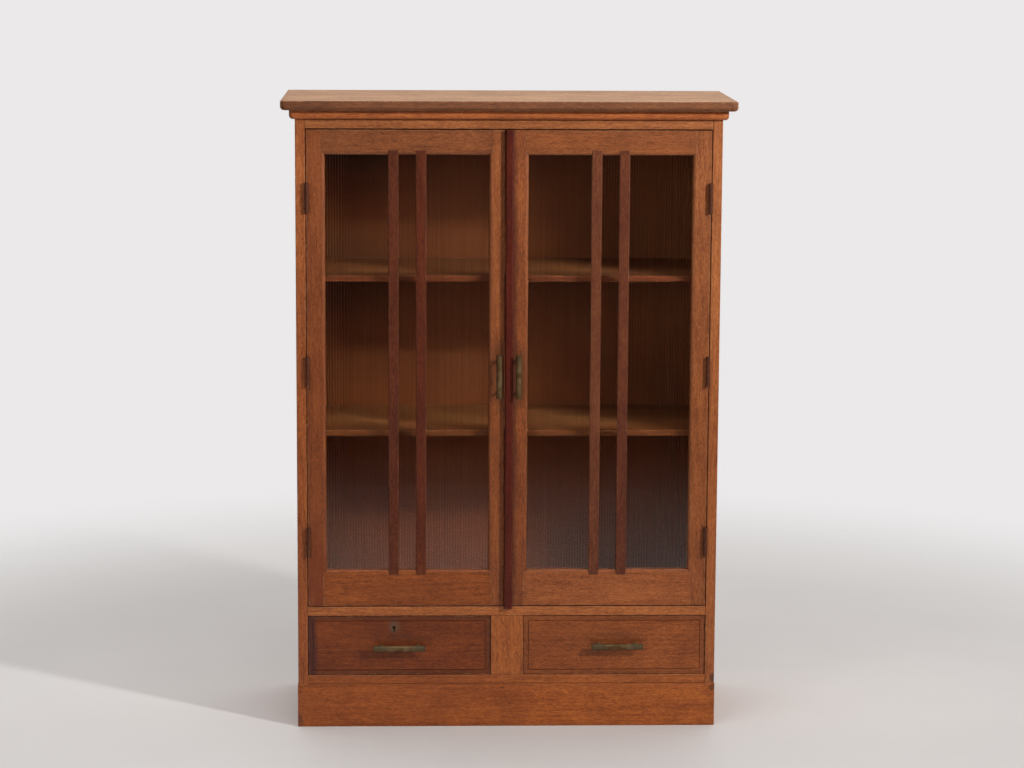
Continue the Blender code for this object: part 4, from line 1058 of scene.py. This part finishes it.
def make_nails(finish):
    """Nail heads on the plinth, and a row of them round the back panel."""
    low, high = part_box("plinth_front")
    left, right = low[0] + 0.0065, high[0] - 0.0070
    spots = ((left, 0.0225), (left, 0.0855), (right, 0.0890), (-0.010, 0.0955))
    heads = [head(spot, ELEVATION, low[1], -1, *PLINTH_NAIL) for spot in spots]
    piece("plinth_nails", heads, "case", finish)
    low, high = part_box("back_panel")
    across = np.linspace(low[0] + 0.006, high[0] - 0.006, BACK_NAILS_ACROSS)
    up = np.linspace(low[2] + 0.010, high[2] - 0.010, BACK_NAILS_UP)
    rim = [(x, z) for z in (up[0], up[-1]) for x in across]
    rim += [(x, z) for x in (across[0], across[-1]) for z in up[1:-1]]
    heads = [head(spot, ELEVATION, high[1], 1, *BACK_NAIL) for spot in rim]
    piece("back_nails", heads, "case", finish)


# ---------------------------------------------------------------- floor

FLOOR_RINGS = (0.0, 0.5, 1.0, 2.0, 3.0, 4.0, 6.0, 9.0, 14.0)
FLOOR_FADE, FRONT_SHARE, FRONT_RISE = (1.3, 2.9), 0.72, (0.95, 1.5)


def make_floor():
    """A pale disc that fades out into the surround.

    In front, below the picture, it reaches further, because the glass mirrors
    it: there a distance in y counts as 0.72 times itself.
    """
    turn = np.linspace(0, 2 * math.pi, 65)[:-1]
    spots = np.array(FLOOR_RINGS)[:, None, None] * np.stack([np.cos(turn), np.sin(turn)], axis=-1)
    points = np.concatenate([spots, np.zeros((*spots.shape[:2], 1))], axis=-1)
    index = np.arange(points.size // 3).reshape(points.shape[:2])
    after = np.roll(index, -1, axis=1)
    quads = np.stack([index[:-1], index[1:], after[1:], after[:-1]], axis=-1).reshape(-1, 4)
    mesh = bpy.data.meshes.new("floor")
    mesh.from_pydata(points.reshape(-1, 3).tolist(), [], quads.tolist())
    floor = bpy.data.objects.new("floor", mesh)
    bpy.context.scene.collection.objects.link(floor)
    finish = Finish("floor")
    x, y, _ = finish.axes(finish.place)
    ahead = 0.0 - y
    y = y.most(FRONT_SHARE * ahead)
    far = (x * x + y * y).root()
    mottle = finish.noise(3.0, 5.0, 0.6)
    colour = finish.mix(mottle, (0.74, 0.71, 0.695), (0.80, 0.775, 0.76))
    colour = finish.mix(ahead.rise(*FRONT_RISE), colour, (0.72, 0.70, 0.70))
    paint = finish.node("ShaderNodeBsdfPrincipled", {}, {"Base Color": colour, "Roughness": 0.6})
    clear = finish.node("ShaderNodeBsdfTransparent")
    fading = {0: far.rise(*FLOOR_FADE), 1: paint, 2: clear}
    mesh.materials.append(finish.shown(finish.node("ShaderNodeMixShader", {}, fading)))


make_camera()
make_room()
for lamp_name, lamp in LAMPS.items():
    make_lamp(lamp_name, *lamp)

dress_boards()
clear_glass = glass()
dark_iron = iron()
moulded_board("moulded_top", "top_board", lower=0.009, upper=0.0025, corner=0.013)
moulded_board("moulded_cornice", "cornice_board", lower=0.009, upper=0.0006, corner=0.0115)
make_meeting_bead()
for word, side in (("left", -1), ("right", 1)):
    make_door_frame(word, side)
    for bar in ("left", "right"):
        make_glazing_bar(f"{word}_{bar}_glazing_bar", f"{word}_door_{bar}_bar", word + "_door")
    make_pane(word, clear_glass)
    for kind in PULLS:
        make_pull(word, kind, 3 + side)
dress("left_drawer_lock", brass("lock", middle=0.2452, axis=2, half=0.08, green=0.0, seed=7))
make_hinges(dark_iron)
make_nails(dark_iron)
make_floor()
bpy.context.scene.view_settings.view_transform = "Standard"
